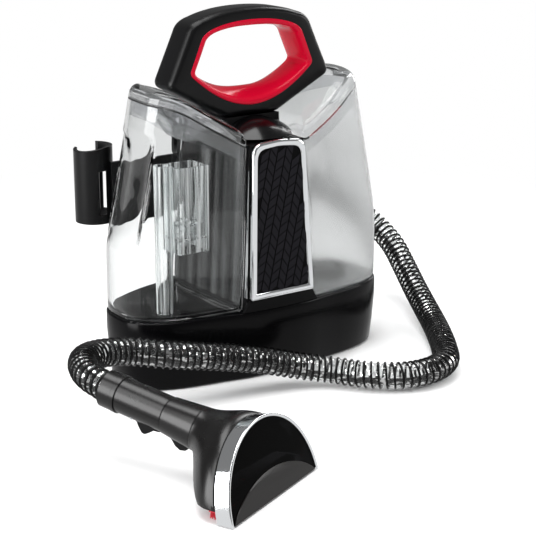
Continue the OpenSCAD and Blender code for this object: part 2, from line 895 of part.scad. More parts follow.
// tanks
function tank_xy(i, z, inset) =
    let (a = half_w(z) - inset, f = front_d(z) - inset, b = back_d(z) - inset,
        xi = tower_half(z) + side_gap + inset, rc = max(2, tank_r - inset), xs = xi + rc,
        k = i <= arc_n ? i : 2 * arc_n - i, x = spread(max(k, 0), arc_n, xs, a), n = 2 * arc_n,
        t = i <= n + 3 ? 270 + 30 * (i - n) : 30 * (i - n - 4))
    i <= arc_n ? [-x, back_y(x, a, b)]
    : i <= n ? [-x, front_y(x, a, f)]
    : i <= n + 3 ? [-xs + rc * cos(t), front_y(xs, a, f) + rc + rc * sin(t)]
    : [-xs + rc * cos(t), back_y(xs, a, b) - rc + rc * sin(t)];
function half_w(z) = body_half_w - 1 - side_lean(z);
function front_d(z) = front_depth - 1 - front_share * side_lean(z);
function back_d(z) = back_depth - 3 - back_share * side_lean(z);
function tank_top(p) =
    tank_corner_z + tank_rise * (abs(p.x) - tower_half_top)
    + tank_crown * (1 - pow((p.y - crown_y) / crown_half, 2))
    - 9 * pow(max(0, abs(p.x) - body_half_w + 60) / 30, 2);
function dent(p, z) =
    let (u = p.y / dent_half_l, w = (z - dent_z) / dent_half_h)
    p.x > -90 || abs(u) > 1 || abs(w) > 1 ? 0 : dent_d * (1 - pow(u, 4)) * (1 - pow(w, 4));
// a level of the tank: share of its height, drop below its top, inset of the wall
function tank_ring(v, drop, inset, lift = 0) = [
    for (i = [0 : tank_n - 1])
        let (q = tank_xy(i, tank_mid_z, inset), zt = tank_top(q) - drop,
            z = tank_z0 + lift + v * (zt - tank_z0 - lift), p = tank_xy(i, z, inset))
        [p.x + dent(p, z), p.y, z]
];
// the same outline shrunk about its middle, on the crowned top
function top_ring(s, drop, inset) =
    let (c = [-(body_half_w + 5) / 2, 4])
    [for (i = [0 : tank_n - 1])
        let (q = tank_xy(i, tank_mid_z + 10, inset), p = c + s * (q - c))
        [p.x, p.y, tank_top(p) - drop]];

module tank_cup() {
    n = len(tank_levels);
    skin(concat(
        [tank_ring(0, lid_h, 3), tank_ring(0, lid_h, 0.9, 0.9), tank_ring(0, lid_h, 0, 3)],
        [for (v = tank_levels) tank_ring(v, lid_h, 0)],
        [for (i = [n - 1 : -1 : 0]) tank_ring(tank_levels[i], lid_h, tank_wall)],
        [tank_ring(0, lid_h, tank_wall + 1, tank_wall)]
    ));
}

// lid or welded top: a collar inside the cup, a rounded rim and a crowned face
module tank_cover(rest) {
    s = tank_wall + fit;
    t = tank_wall;
    skin([
        top_ring(0.03, t, s + t), top_ring(0.4, t, s + t), top_ring(0.8, t, s + t),
        tank_ring(1, t + 1.5, s + t), tank_ring(1, lid_h + skirt_h, s + t), tank_ring(1, lid_h + skirt_h, s),
        tank_ring(1, lid_h - rest, s), tank_ring(1, lid_h - rest, 0),
        tank_ring(1, rim_r, 0), tank_ring(1, rim_r * 0.5, rim_r * 0.134),
        tank_ring(1, rim_r * 0.134, rim_r * 0.5), tank_ring(1, 0, rim_r),
        top_ring(0.7, 0, rim_r), top_ring(0.35, 0, rim_r), top_ring(0.03, 0, rim_r)
    ]);
}

module waste_tank() {
    color(c_clear, 0.4)
        difference() {
            tank_cup();
            translate([pipe_at.x, pipe_at.y, base_h - 5])
                cylinder(r = pipe_r - 1.5, h = 20);
            translate([-60, duct_y0 + 2, air_z0])
                cube([40, duct_y1 - duct_y0 - 4, air_z1 - air_z0]);
        }
}

module waste_lid() {
    color(c_clear, 0.4)
        tank_cover(gasket_t);
}

module waste_gasket() {
    color(c_rubber)
        loop_skin([
            tank_ring(1, lid_h - run, 0.4), tank_ring(1, lid_h - gasket_t + run, 0.4),
            tank_ring(1, lid_h - gasket_t + run, tank_wall), tank_ring(1, lid_h - run, tank_wall)
        ]);
}

module standpipe() {
    color(c_clear, 0.5)
        translate([pipe_at.x, pipe_at.y, tank_z0 + tank_wall])
            difference() {
                cylinder(r = pipe_r, h = pipe_top_z - tank_z0 - tank_wall);
                translate([0, 0, -1])
                    cylinder(r = pipe_r - 1.5, h = 200);
            }
}

module float_shield() {
    w = shield_half;
    color(c_clear, 0.5)
        translate([float_at.x, float_at.y, 0])
            difference() {
                translate([-w.x, -w.y, ledge_z - 14])
                    cube([2 * w.x, 2 * w.y, pipe_top_z - 2 - ledge_z + 14]);
                translate([-w.x + shield_t, -w.y + shield_t, ledge_z])
                    cube([2 * (w.x - shield_t), 2 * (w.y - shield_t), 100]);
                translate([-w.x + shield_t, -w.y + shield_t, ledge_z - 40])
                    cube([2 * (w.x - shield_t), 2 * (w.y - shield_t), 40 - shield_t]);
                translate([0, 0, ledge_z - 10])
                    cylinder(r = float_r - 3, h = 20);
                translate([-w.x - 1, -40, ledge_z - 14])
                    rotate([0, 16, 0])
                        translate([-10, 0, -20])
                            cube([60, 80, 20]);
            }
}

module float() {
    color(c_natural)
        translate([float_at.x, float_at.y, ledge_z])
            difference() {
                cylinder(r = float_r, h = float_h);
                translate([0, 0, -1])
                    cylinder(r = float_r - 2, h = float_h - 1);
            }
}

module clean_tank() {
    color(c_clear, 0.4)
        difference() {
            union() {
                mirror([1, 0, 0])
                    tank_cup();
                translate([valve_at.x, valve_at.y, tank_z0])
                    cylinder(r = cap_r + 2.5, h = 10);
            }
            translate([valve_at.x, valve_at.y, tank_z0 - 1])
                cylinder(r = cap_r + 0.1, h = 20);
        }
}

module clean_top() {
    color(c_clear, 0.4)
        mirror([1, 0, 0])
            tank_cover(run);
}

module filler_cap() {
    color(c_black)
        translate([valve_at.x, valve_at.y, tank_z0])
            difference() {
                union() {
                    cylinder(r = cap_r, h = 10);
                    translate([0, 0, 10])
                        cylinder(r = cap_r + 2, h = 2);
                }
                translate([0, 0, 2])
                    difference() {
                        cylinder(r = cap_r - 2, h = 20);
                        translate([0, 0, -1])
                            cylinder(r = 6, h = 8);
                    }
                translate([0, 0, -1])
                    cylinder(r = 2.5 + run, h = 20);
            }
}

module valve_poppet() {
    color(c_natural)
        translate([valve_at.x, valve_at.y, tank_z0]) {
            translate([0, 0, 0.2])
                cylinder(r = 2.5, h = 10);
            translate([0, 0, 9])
                cylinder(r = 5.5, h = 2.5);
        }
}

// hose
function curve(a, b, c, d, t) =
    0.5 * (2 * b + (c - a) * t + (2 * a - 5 * b + 4 * c - d) * t * t + (3 * b - a - 3 * c + d) * t * t * t);
route_n = len(route);
route_pts = concat([2 * route[0] - route[1]], route, [2 * route[route_n - 1] - route[route_n - 2]]);
fine = concat(
    [for (i = [1 : route_n - 1], j = [0 : 7])
        curve(route_pts[i - 1], route_pts[i], route_pts[i + 1], route_pts[i + 2], j / 8)],
    [route[route_n - 1]]
);
fine_s = [for (i = 0, s = 0; i < len(fine);
    s = s + (i + 1 < len(fine) ? norm(fine[i + 1] - fine[i]) : 0), i = i + 1) s];
hose_l = fine_s[len(fine) - 1];
line_x = [for (i = [0 : len(fine) - 1]) [fine_s[i], fine[i].x]];
line_y = [for (i = [0 : len(fine) - 1]) [fine_s[i], fine[i].y]];
line_z = [for (i = [0 : len(fine) - 1]) [fine_s[i], fine[i].z]];
function on_route(s) = [lookup(s, line_x), lookup(s, line_y), lookup(s, line_z)];
function hose_ring(s, r, n, drop) =
    let (c = on_route(s), t = unit(on_route(min(hose_l, s + 4)) - on_route(max(0, s - 4))),
        a = unit(cross(t, [0, 0, 1])), b = cross(a, t))
    [for (j = [0 : n - 1]) let (w = 360 * (j + 0.5) / n) c + (r * sin(w) - drop) * b + r * cos(w) * a];

module hose() {
    n = 8;
    k = 64;
    m = 2 * rib_count + 1;
    outer = [for (i = [0 : m - 1])
        hose_ring(hose_l * i / (m - 1), hose_d / 2 - (i % 2 == 0 ? 1.7 : 0), n, 0)];
    inner = [for (i = [0 : k]) hose_ring(hose_l * i / k, hose_bore / 2, n, 0)];
    o = m * n;
    color(c_smoke)
        polyhedron(
            concat([for (r = outer) each r], [for (r = inner) each r]),
            concat(
                side_faces(m, n, false),
                [for (f = side_faces(k + 1, n, false)) [f[0] + o, f[2] + o, f[1] + o]],
                [for (j = [0 : n - 1]) let (l = (j + 1) % n)
                    each [[j, l, o + l], [j, o + l, o + j]]],
                [for (j = [0 : n - 1]) let (l = (j + 1) % n, p = (m - 1) * n, q = o + k * n)
                    each [[p + j, q + l, p + l], [p + j, q + j, q + l]]]
            ), convexity = 10);
}

module solution_line() {
    k = 90;
    color(c_rubber)
        skin([for (i = [0 : k])
            hose_ring(1 + (hose_l - 2) * i / k, line_d / 2, 6, (hose_bore - line_d) / 2 - 1)]);
}

// hand tool
module tool_frame() {
    translate([tool_at.x, tool_at.y, 0])
        rotate([0, 0, tool_yaw])
            children();
}

module grip_frame() {
    tool_frame()
        translate([0, grip_at.x, grip_at.y])
            rotate([grip_pitch, 0, 0])
                children();
}

module nozzle_frame() {
    tool_frame()
        rotate([-nozzle_lean, 0, 0])
            children();
}

// a round bar along the grip
module bar(r, y0, y1, z = 0) {
    translate([0, y0, z])
        rotate([-90, 0, 0])
            cylinder(r = r, h = y1 - y0);
}

module hose_collar() {
    color(c_black)
        grip_frame()
            difference() {
                union() {
                    bar(grip_r + 0.8, grip_l, collar_l);
                    bar(grip_r + 1.1, grip_l, grip_l + 4);
                }
                bar(hose_d / 2 + 1.2, grip_l - 1, collar_l + 1);
            }
}

module grip_shell() {
    difference() {
        bar(grip_r, 0.6, grip_l);
        bar(grip_r - 2.2, 3, hose_in - 3);
        bar(hose_d / 2 + 0.4, hose_in - 0.2, grip_l + 1);
        bar(tube_r, -1, grip_l, tube_z);
    }
}

module grip_upper() {
    color(c_black)
        grip_frame()
            intersection() {
                grip_shell();
                translate([-30, -10, 0])
                    cube([60, 100, 30]);
            }
}

module grip_lower() {
    color(c_black)
        grip_frame()
            difference() {
                intersection() {
                    grip_shell();
                    translate([-30, -10, -30])
                        cube([60, 100, 30]);
                }
                translate([-5.4, 3, -30])
                    cube([10.8, trigger_at.x + 0.8, 24]);
                translate([-30, trigger_at.x, trigger_at.y])
                    rotate([0, 90, 0])
                        cylinder(r = pin_r, h = 60);
            }
}

module grip_tube() {
    color(c_black)
        grip_frame()
            difference() {
                bar(tube_r, -22, hose_in - 0.2, tube_z);
                bar(tube_r - 1.4, -23, hose_in, tube_z);
            }
}

module trigger() {
    color(c_black)
        grip_frame()
            difference() {
                union() {
                    translate([-5, 0, 0])
                        rotate([90, 0, 90])
                            linear_extrude(10)
                                polygon([
                                    trigger_at + [0, 2.6], trigger_at + [0, -3], [27, -15.2], [24.5, -19],
                                    [21, -22.6], [18, -23], [14.5, -20.5], [10, -16.6], [4.4, -15.6],
                                    [4.4, -13], [22, -9.6]
                                ]);
                    translate([-5, trigger_at.x, trigger_at.y])
                        rotate([0, 90, 0])
                            cylinder(r = 3, h = 10);
                }
                translate([-30, trigger_at.x, trigger_at.y])
                    rotate([0, 90, 0])
                        cylinder(r = pin_r + run, h = 60);
            }
}

module trigger_pin() {
    color(c_metal)
        grip_frame()
            translate([-9.6, trigger_at.x, trigger_at.y])
                rotate([0, 90, 0])
                    cylinder(r = pin_r, h = 19.2);
}

module spray_valve() {
    color(c_natural)
        grip_frame()
            bar(1.9, 3, hose_in - 3, tube_z - tube_r - 1.9);
}

module tool_neck() {
    color(c_black)
        grip_frame()
            difference() {
                translate([0, -neck_l, 0])
                    rotate([-90, 0, 0])
                        cylinder(r1 = neck_r, r2 = grip_r + 0.6, h = neck_l);
                bar(tube_r + run, -neck_l - 1, 1, tube_z);
                translate([-6.3, -26, -30])
                    cube([12.6, 20, 21]);
            }
}

module tool_release() {
    color(c_black)
        grip_frame()
            intersection() {
                translate([-6, 0, 0])
                    rotate([90, 0, 90])
                        linear_extrude(12)
                            polygon([
                                [-25.7, -12], [-25.7, -17], [-22, -21.5], [-17, -23], [-12, -21],
                                [-8, -17], [-6.3, -16], [-6.3, -12]
                            ]);
            }
}

// nozzle body: from the arch's outline to the round neck
function arch_radius(w, r, c, low) =
    let (round = -c * sin(w) + sqrt(r * r - pow(c * cos(w), 2)))
    sin(w) < 0 ? min(round, (c - low) / -sin(w)) : round;
// how far a section has gone over to the neck's circle: evenly above, later below
function flare(s, w) =
    let (t = min(1, max(0, (sin(w) + 0.3) / 0.9)), q = pow(max(s, 0), 1.4))
    s < 0 ? s : mix(ease(q), (s + ease(s)) / 2, t);
function ease(s) = s * s * (3 - 2 * s);
function body_ring(s, inset) =
    let (c = 26, lean = mix(nozzle_lean, -grip_pitch, s),
        a = [c * sin(nozzle_lean) + trim_d * cos(nozzle_lean),
            c * cos(nozzle_lean) - trim_d * sin(nozzle_lean)],
        b = grip_at - neck_l * [cos(grip_pitch), sin(grip_pitch)], m = mix(a, b, s))
    [for (j = [tool_n - 1 : -1 : 0])
        let (w = 360 * (j + 0.5) / tool_n,
            r = mix(arch_radius(w, arch_r, c, 4), neck_r, flare(s, w)) - inset)
        [r * cos(w), m.x + r * sin(w) * sin(lean), m.y + r * sin(w) * cos(lean)]];

module tool_body() {
    steps = [0, 0.1, 0.2, 0.3, 0.45, 0.6, 0.75, 0.9, 1];
    color(c_black)
        tool_frame()
            difference() {
                intersection() {
                    skin([for (s = steps) body_ring(s, 0)]);
                    translate([-100, -50, sole_z])
                        cube([200, 300, 200]);
                }
                intersection() {
                    skin([for (s = [-0.03, 0.1, 0.25, 0.45, 0.6, 0.75, 0.88, 1.02]) body_ring(s, 2.4)]);
                    translate([-100, -50, sole_z + 2.4])
                        cube([200, 300, 200]);
                }
            }
}

module above_floor() {
    intersection() {
        children();
        tool_frame()
            translate([-100, -50, floor_z])
                cube([200, 300, 200]);
    }
}

module tool_trim() {
    color(c_chrome)
        above_floor()
            nozzle_frame()
                difference() {
                    bar(arch_r, 0, trim_d);
                    bar(arch_r - 2.6, -1, trim_d + 1);
                }
}

module tool_window() {
    color(c_smoke, 0.7)
        above_floor()
            nozzle_frame()
                bar(arch_r - 2.6 - seat, 1.5, 4.5);
}

module tool_brush() {
    l = 2 * (arch_r - 8);
    rows = 4;
    cols = 80;
    color(c_red)
        tool_frame()
            translate([0, brush_y, 0]) {
                translate([-l / 2, -4, 5.5])
                    cube([l, 8, sole_z - 5.5]);
                for (i = [0 : cols - 1], j = [0 : rows - 1])
                    translate([-l / 2 + 1.2 + (l - 2.4) * i / (cols - 1), -3 + 6 * j / (rows - 1), floor_z])
                        cylinder(r = 0.45, h = 5.4, $fn = 3);
            }
}

module spray_tip() {
    color(c_natural)
        tool_frame()
            translate([0, brush_y + 10.5, sole_z - 5])
                difference() {
                    cylinder(r = 3.4, h = 5);
                    translate([0, 0, -1])
                        cylinder(r = 0.8, h = 4);
                }
}

base_housing();
bottom_cover();
foot_pads();
base_screws();
tower_front();
tower_rear();
handle_front();
handle_rear();
handle_ring();
front_bezel();
front_panel();
power_button();
power_switch();
suction_motor();
motor_mount();
fan_housing();
fan_impeller();
suction_duct();
inlet_duct();
port_seal();
air_seal();
pump();
pump_inlet_tube();
pump_outlet_tube();
valve_seat();
hose_port();
hose_cuff();
cord_gland();
cord_hook_lower();
cord_hook_upper();
tool_clip();
waste_tank();
waste_lid();
waste_gasket();
standpipe();
float_shield();
float();
clean_tank();
clean_top();
filler_cap();
valve_poppet();
hose();
solution_line();
hose_collar();
grip_upper();
grip_lower();
grip_tube();
trigger();
trigger_pin();
spray_valve();
tool_neck();
tool_release();
tool_body();
tool_trim();
tool_window();
tool_brush();
spray_tip();
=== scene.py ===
"""Looks of a portable spot extractor: base, clear tanks, handle, ribbed hose and hand tool."""

import json
from math import cos, pi, radians, sin, sqrt, tan

import bmesh
import bpy
from mathutils import Matrix, Vector

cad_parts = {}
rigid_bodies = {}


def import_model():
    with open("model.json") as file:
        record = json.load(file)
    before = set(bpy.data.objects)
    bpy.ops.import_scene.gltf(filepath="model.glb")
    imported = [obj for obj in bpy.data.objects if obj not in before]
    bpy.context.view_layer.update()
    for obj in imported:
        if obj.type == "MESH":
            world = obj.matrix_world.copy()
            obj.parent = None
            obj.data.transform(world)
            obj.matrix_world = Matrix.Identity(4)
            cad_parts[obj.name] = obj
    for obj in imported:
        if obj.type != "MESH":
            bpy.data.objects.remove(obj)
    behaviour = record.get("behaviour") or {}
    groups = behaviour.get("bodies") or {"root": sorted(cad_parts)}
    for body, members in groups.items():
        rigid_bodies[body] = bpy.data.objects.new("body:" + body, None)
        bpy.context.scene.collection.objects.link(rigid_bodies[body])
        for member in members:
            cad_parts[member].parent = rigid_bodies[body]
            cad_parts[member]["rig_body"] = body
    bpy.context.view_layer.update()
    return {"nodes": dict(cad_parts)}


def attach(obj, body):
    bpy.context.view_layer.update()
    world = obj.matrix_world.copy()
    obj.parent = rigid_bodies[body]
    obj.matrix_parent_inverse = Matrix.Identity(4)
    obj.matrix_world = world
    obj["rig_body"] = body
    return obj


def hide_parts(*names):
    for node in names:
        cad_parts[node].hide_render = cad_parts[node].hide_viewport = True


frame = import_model()
nodes = frame["nodes"]
scene = bpy.context.scene
scene.view_settings.view_transform = "Standard"


# ---- Camera
# The photograph's camera: a long lens a little above the machine, on the dirty tank's side,
# fitted to the seam of the base, the front panel, the tank corners and the handle.
def placed(name, data):
    """A new object with that data, put into the scene."""
    obj = bpy.data.objects.new(name, data)
    scene.collection.objects.link(obj)
    return obj


CAMERA_AT = Vector((-0.8007, -1.18175, 0.50766))
CAMERA_RIGHT = Vector((0.8185, -0.5745, 0.0))
CAMERA_UP = Vector((0.1621, 0.2309, 0.9594))
camera = placed("camera", bpy.data.cameras.new("camera"))
camera.data.sensor_width = 36.0
camera.data.lens = 103.07
camera.data.clip_end = 50.0
camera.matrix_world = Matrix.Translation(CAMERA_AT) @ Matrix(
    (CAMERA_RIGHT, CAMERA_UP, CAMERA_RIGHT.cross(CAMERA_UP))
).transposed().to_4x4()
scene.camera = camera


# ---- Hose
# A wound suction hose: a smoky clear vinyl wall with a black spiral rib welded round it, pushed
# into the machine's cuff at the back and into the tool's collar at the front.
def linear(code):
    """An sRGB hex colour as linear red, green, blue and alpha."""
    parts = [int(code[i : i + 2], 16) / 255 for i in (1, 3, 5)]
    return [c / 12.92 if c <= 0.04045 else ((c + 0.055) / 1.055) ** 2.4 for c in parts] + [1.0]


def add(tree, kind, inputs=None, **settings):
    """A node with its settings, values and links; a node as a value means its first output."""
    node = tree.nodes.new(kind)
    for key, value in settings.items():
        setattr(node, key, value)
    for key, value in (inputs or {}).items():
        if isinstance(value, bpy.types.Node):
            value = value.outputs[0]
        if isinstance(value, bpy.types.NodeSocket):
            tree.links.new(value, node.inputs[key])
        else:
            node.inputs[key].default_value = value
    return node


def maths(tree, operation, *values, **settings):
    """A maths node on those values."""
    return add(tree, "ShaderNodeMath", dict(enumerate(values)), operation=operation, **settings)


def vectors(tree, operation, *values, **inputs):
    """A vector maths node on those values."""
    inputs.update(enumerate(values))
    return add(tree, "ShaderNodeVectorMath", inputs, operation=operation)


def xyz(tree, x=0.0, y=0.0, z=0.0):
    """A vector of three values."""
    return add(tree, "ShaderNodeCombineXYZ", {0: x, 1: y, 2: z})


def ranged(tree, value, start, end, to_start=0.0, to_end=1.0, smooth=False):
    """A value carried over from one range to another and held at its ends."""
    return add(
        tree,
        "ShaderNodeMapRange",
        {"Value": value, "From Min": start, "From Max": end, "To Min": to_start, "To Max": to_end},
        interpolation_type="SMOOTHSTEP" if smooth else "LINEAR",
    )


def noise(tree, place, scale, detail=2.0, distortion=0.0):
    """A cloudy pattern that stays the same on every run."""
    inputs = {"Vector": place, "Scale": scale, "Detail": detail, "Distortion": distortion}
    return add(tree, "ShaderNodeTexNoise", inputs)


def bump(tree, height, strength, distance):
    """The normal of a surface with a fine relief."""
    inputs = {"Height": height, "Strength": strength, "Distance": distance}
    return add(tree, "ShaderNodeBump", inputs)


def tinted(tree, factor, low, high):
    """A colour between two; 6 and 7 are the mix node's sockets for colours."""
    inputs = {"Factor": factor, 6: low, 7: high}
    return add(tree, "ShaderNodeMix", inputs, data_type="RGBA").outputs[2]


def mixed(tree, factor, first, second):
    """A shader between two."""
    return add(tree, "ShaderNodeMixShader", {0: factor, 1: first, 2: second})


def blank(name):
    """A new material, its empty tree and the place on the piece."""
    material = bpy.data.materials.new(name)
    material.use_nodes = True
    tree = material.node_tree
    tree.nodes.clear()
    return material, tree, add(tree, "ShaderNodeTexCoord").outputs["Object"]


CLOUD_SCALE, CLOUD_DETAIL = 22.0, 4.0
GRAIN_STRENGTH = 0.35
PLASTIC_IOR = 1.52


def plastic(
    name, colour, rough, rough_spread, grain_mm, relief_mm, shift=0.0, shine=0.5, metal=0.0
):
    """A moulded or plated piece: its colour, a roughness that wanders, and a fine grain."""
    material, tree, place = blank(name)
    cloud = noise(tree, place, CLOUD_SCALE, CLOUD_DETAIL)
    grain = noise(tree, place, 1000.0 / grain_mm)
    base = linear(colour)[:3]
    low = [c * (1.0 - shift) for c in base] + [1.0]
    high = [min(1.0, c * (1.0 + shift)) for c in base] + [1.0]
    inputs = {
        "Base Color": tinted(tree, cloud, low, high),
        "Metallic": metal,
        "Roughness": ranged(tree, cloud, 0.0, 1.0, rough - rough_spread, rough + rough_spread),
        "Normal": bump(tree, grain, GRAIN_STRENGTH, relief_mm / 1000.0),
        "IOR": PLASTIC_IOR,
        "Specular IOR Level": shine,
    }
    shader = add(tree, "ShaderNodeBsdfPrincipled", inputs)
    add(tree, "ShaderNodeOutputMaterial", {"Surface": shader})
    return material


RIPPLE_SCALE, RIPPLE_STRENGTH, RIPPLE_DEPTH = 16.0, 0.12, 0.002


def clear(name, colour, rough, ior, lamp_tint, passes=1.0, veil=0.25):
    """A clear plastic that lets the lamps through to what is behind it."""
    material, tree, place = blank(name)
    flow = noise(tree, place, RIPPLE_SCALE)
    inputs = {
        "Base Color": linear(colour),
        "Roughness": rough,
        "IOR": ior,
        "Transmission Weight": passes,
        "Specular Tint": (veil, veil, veil, 1.0),
        "Normal": bump(tree, flow, RIPPLE_STRENGTH, RIPPLE_DEPTH),
    }
    glass = add(tree, "ShaderNodeBsdfPrincipled", inputs)
    open_way = add(tree, "ShaderNodeBsdfTransparent", {"Color": linear(lamp_tint)})
    in_shadow = add(tree, "ShaderNodeLightPath").outputs["Is Shadow Ray"]
    add(tree, "ShaderNodeOutputMaterial", {"Surface": mixed(tree, in_shadow, glass, open_way)})
    return material


PATCH_DETAIL, PATCH_DISTORTION = 3.0, 0.6
PATCH_LOW, PATCH_HIGH = 0.53, 0.65
CRINKLE_DEPTH = 0.002
WHITE = (1.0, 1.0, 1.0, 1.0)


def film(name, clear_tint, dull_tint, rough, patch_mm, haze, folds, crinkled, index=1.5):
    """A thin clear wall: tinted in patches, glossy and crinkled, and faintly cloudy."""
    material, tree, place = blank(name)
    patch = noise(tree, place, 1000.0 / patch_mm, PATCH_DETAIL, PATCH_DISTORTION)
    spread = ranged(tree, patch, PATCH_LOW, PATCH_HIGH, smooth=True)
    tint = tinted(tree, spread, linear(dull_tint), linear(clear_tint))
    crinkle = bump(tree, patch, crinkled, CRINKLE_DEPTH)
    see = add(tree, "ShaderNodeBsdfTransparent", {"Color": tint})
    cloud = add(tree, "ShaderNodeBsdfTranslucent", {"Color": linear("#d8dada")})
    body = mixed(tree, haze, see, cloud)
    inputs = {"Color": WHITE, "Roughness": rough, "Normal": crinkle}
    gloss = add(tree, "ShaderNodeBsdfGlossy", inputs)
    # a thin wall mirrors alike from both sides, so the index is turned round on its back
    on_back = add(tree, "ShaderNodeNewGeometry").outputs["Backfacing"]
    ior = ranged(tree, on_back, 0.0, 1.0, index, 1.0 / index)
    edge = add(tree, "ShaderNodeFresnel", {"IOR": ior, "Normal": crinkle})
    fold = maths(tree, "MULTIPLY_ADD", spread, folds, edge, use_clamp=True)
    add(tree, "ShaderNodeOutputMaterial", {"Surface": mixed(tree, fold, body, gloss)})
    return material


# vinyl: soft, clear and a little crinkled between the ribs, with darker patches in its tint that
# are painted reflection of the ribs inside; the rib is the same, coloured black
smoky_vinyl = film("smoky clear vinyl", "#f6f7f7", "#e6e7e7", 0.12, 5.0, 0.04, 0.55, 0.25)
black_vinyl = plastic("black vinyl rib", "#050505", 0.26, 0.05, 3.0, 0.05, shine=0.2)

# the creases and the painted reflection patches run along the hose, so the pattern is laid out
# along and around its wall
CREASE_AND_REFLECTION_AROUND, CREASE_AND_REFLECTION_ALONG = 2.6, 90.0
tree = smoky_vinyl.node_tree
around = add(tree, "ShaderNodeAttribute", attribute_name="around").outputs["Vector"]
along = add(tree, "ShaderNodeAttribute", attribute_name="along").outputs["Fac"]
run = xyz(tree, z=maths(tree, "MULTIPLY", along, CREASE_AND_REFLECTION_ALONG))
crease_and_reflection_place = vectors(tree, "MULTIPLY_ADD", around, (CREASE_AND_REFLECTION_AROUND, CREASE_AND_REFLECTION_AROUND, 0.0), run)
pattern = tree.nodes["Noise Texture"].inputs
tree.links.new(crease_and_reflection_place.outputs[0], pattern["Vector"])
pattern["Scale"].default_value = 1.0

HOSE_ROUTE = [
    (0.038, 0.098, 0.150), (0.064, 0.098, 0.150), (0.098, 0.098, 0.149), (0.132, 0.099, 0.143),
    (0.164, 0.101, 0.130), (0.194, 0.101, 0.112), (0.216, 0.094, 0.094), (0.229, 0.078, 0.078),
    (0.231, 0.053, 0.063), (0.224, 0.025, 0.047), (0.214, -0.005, 0.032), (0.202, -0.036, 0.021),
    (0.187, -0.067, 0.015), (0.168, -0.098, 0.014), (0.146, -0.130, 0.014), (0.123, -0.158, 0.014),
    (0.094, -0.170, 0.014), (0.064, -0.166, 0.014), (0.038, -0.145, 0.014), (0.018, -0.119, 0.015),
    (-0.009, -0.103, 0.020), (-0.040, -0.095, 0.029), (-0.072, -0.090, 0.037),
    (-0.104, -0.086, 0.044), (-0.136, -0.080, 0.050), (-0.169, -0.067, 0.056),
    (-0.201, -0.070, 0.061), (-0.225, -0.089, 0.065), (-0.236, -0.117, 0.064),
    (-0.2325, -0.1444, 0.0598), (-0.2272, -0.156, 0.0574), (-0.2219, -0.1677, 0.055),
]
ROUTE_STEPS = 10
HOSE_WALL_RADIUS = 0.01185
RIB_RADIUS = 0.00115
RIB_PITCH = 0.0065
RIB_STEPS, WALL_STEPS = 18.0, 6.0
RIB_CORNERS, WALL_CORNERS = 6, 28
WALL_SAG = 0.0010
LINE_RADIUS = 0.0032
LINE_DROP, LINE_TUCK = 0.006, 2


def through(points, steps):
    """A smooth line through the points, with that many steps from one to the next."""
    knots = [Vector(p) for p in points]
    knots = [2 * knots[0] - knots[1], *knots, 2 * knots[-1] - knots[-2]]
    line = []
    for a, b, c, d in zip(knots, knots[1:], knots[2:], knots[3:]):
        for i in range(steps):
            t = i / steps
            place = 2 * b + (c - a) * t + (2 * a - 5 * b + 4 * c - d) * t * t
            line.append(0.5 * (place + (3 * b - a - 3 * c + d) * t**3))
    return [*line, knots[-2]]


def curve_of(name, line):
    """An open curve object along a line of points."""
    data = bpy.data.curves.new(name, "CURVE")
    data.dimensions = "3D"
    spline = data.splines.new("POLY")
    spline.points.add(len(line) - 1)
    for point, place in zip(spline.points, line):
        point.co = (*place, 1.0)
    return placed(name, data)


def settled(name, source):
    """A plain mesh object of what a source object comes to; the source is then removed."""
    evaluated = source.evaluated_get(bpy.context.evaluated_depsgraph_get())
    mesh = bpy.data.meshes.new_from_object(evaluated)
    mesh.name = name
    bpy.data.objects.remove(source)
    return placed(name, mesh)


def grown(name, source, tree, values):
    """A plain mesh object that a node tree makes from a source object."""
    modifier = source.modifiers.new("grow", "NODES")
    modifier.node_group = tree
    for item in tree.interface.items_tree:
        if item.in_out == "INPUT" and item.name in values:
            modifier[item.identifier] = values[item.name]
    return settled(name, source)


def fitted(obj, body, node=None):
    """A piece fixed to its body, in the place of its CAD node."""
    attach(obj, body)
    if node:
        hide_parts(node)
    return obj


SOCKETS = {float: "Float", int: "Int", tuple: "Vector", bpy.types.Material: "Material"}


def node_tree(name, values):
    """A geometry tree with an input for each named value, and those inputs."""
    tree = bpy.data.node_groups.new(name, "GeometryNodeTree")
    for way in ("OUTPUT", "INPUT"):
        tree.interface.new_socket("Geometry", in_out=way, socket_type="NodeSocketGeometry")
    for label, value in values.items():
        kind = "NodeSocket" + SOCKETS[type(value)]
        tree.interface.new_socket(label, in_out="INPUT", socket_type=kind)
    return tree, add(tree, "NodeGroupInput").outputs


def resampled(tree, line, pitch, steps):
    """The line with that many points to each pitch of the rib."""
    step = maths(tree, "DIVIDE", pitch, steps)
    return add(tree, "GeometryNodeResampleCurve", {"Curve": line, "Length": step}, mode="LENGTH")


def rib_angle(tree, way, pitch):
    """How far the rib has wound round at a way along the hose."""
    return maths(tree, "MULTIPLY", maths(tree, "DIVIDE", way, pitch), 2 * pi)


def circle(tree, corners, radius):
    """A round profile."""
    inputs = {"Resolution": corners, "Radius": radius}
    return add(tree, "GeometryNodeCurvePrimitiveCircle", inputs)


def marked(tree, shape, name, value, kind, domain="POINT"):
    """The shape with a value stored under a name."""
    inputs = {"Geometry": shape, "Name": name, "Value": value}
    return add(tree, "GeometryNodeStoreNamedAttribute", inputs, data_type=kind, domain=domain)


def stored(tree, name, kind):
    """The value stored under a name."""
    return add(tree, "GeometryNodeInputNamedAttribute", {"Name": name}, data_type=kind)


def moved(tree, shape, offset):
    """The shape with its points moved."""
    return add(tree, "GeometryNodeSetPosition", {"Geometry": shape, "Offset": offset})


def real(tree, shape, material):
    """The shape made real and given its material."""
    whole = add(tree, "GeometryNodeRealizeInstances", {"Geometry": shape})
    return add(tree, "GeometryNodeSetMaterial", {"Geometry": whole, "Material": material})


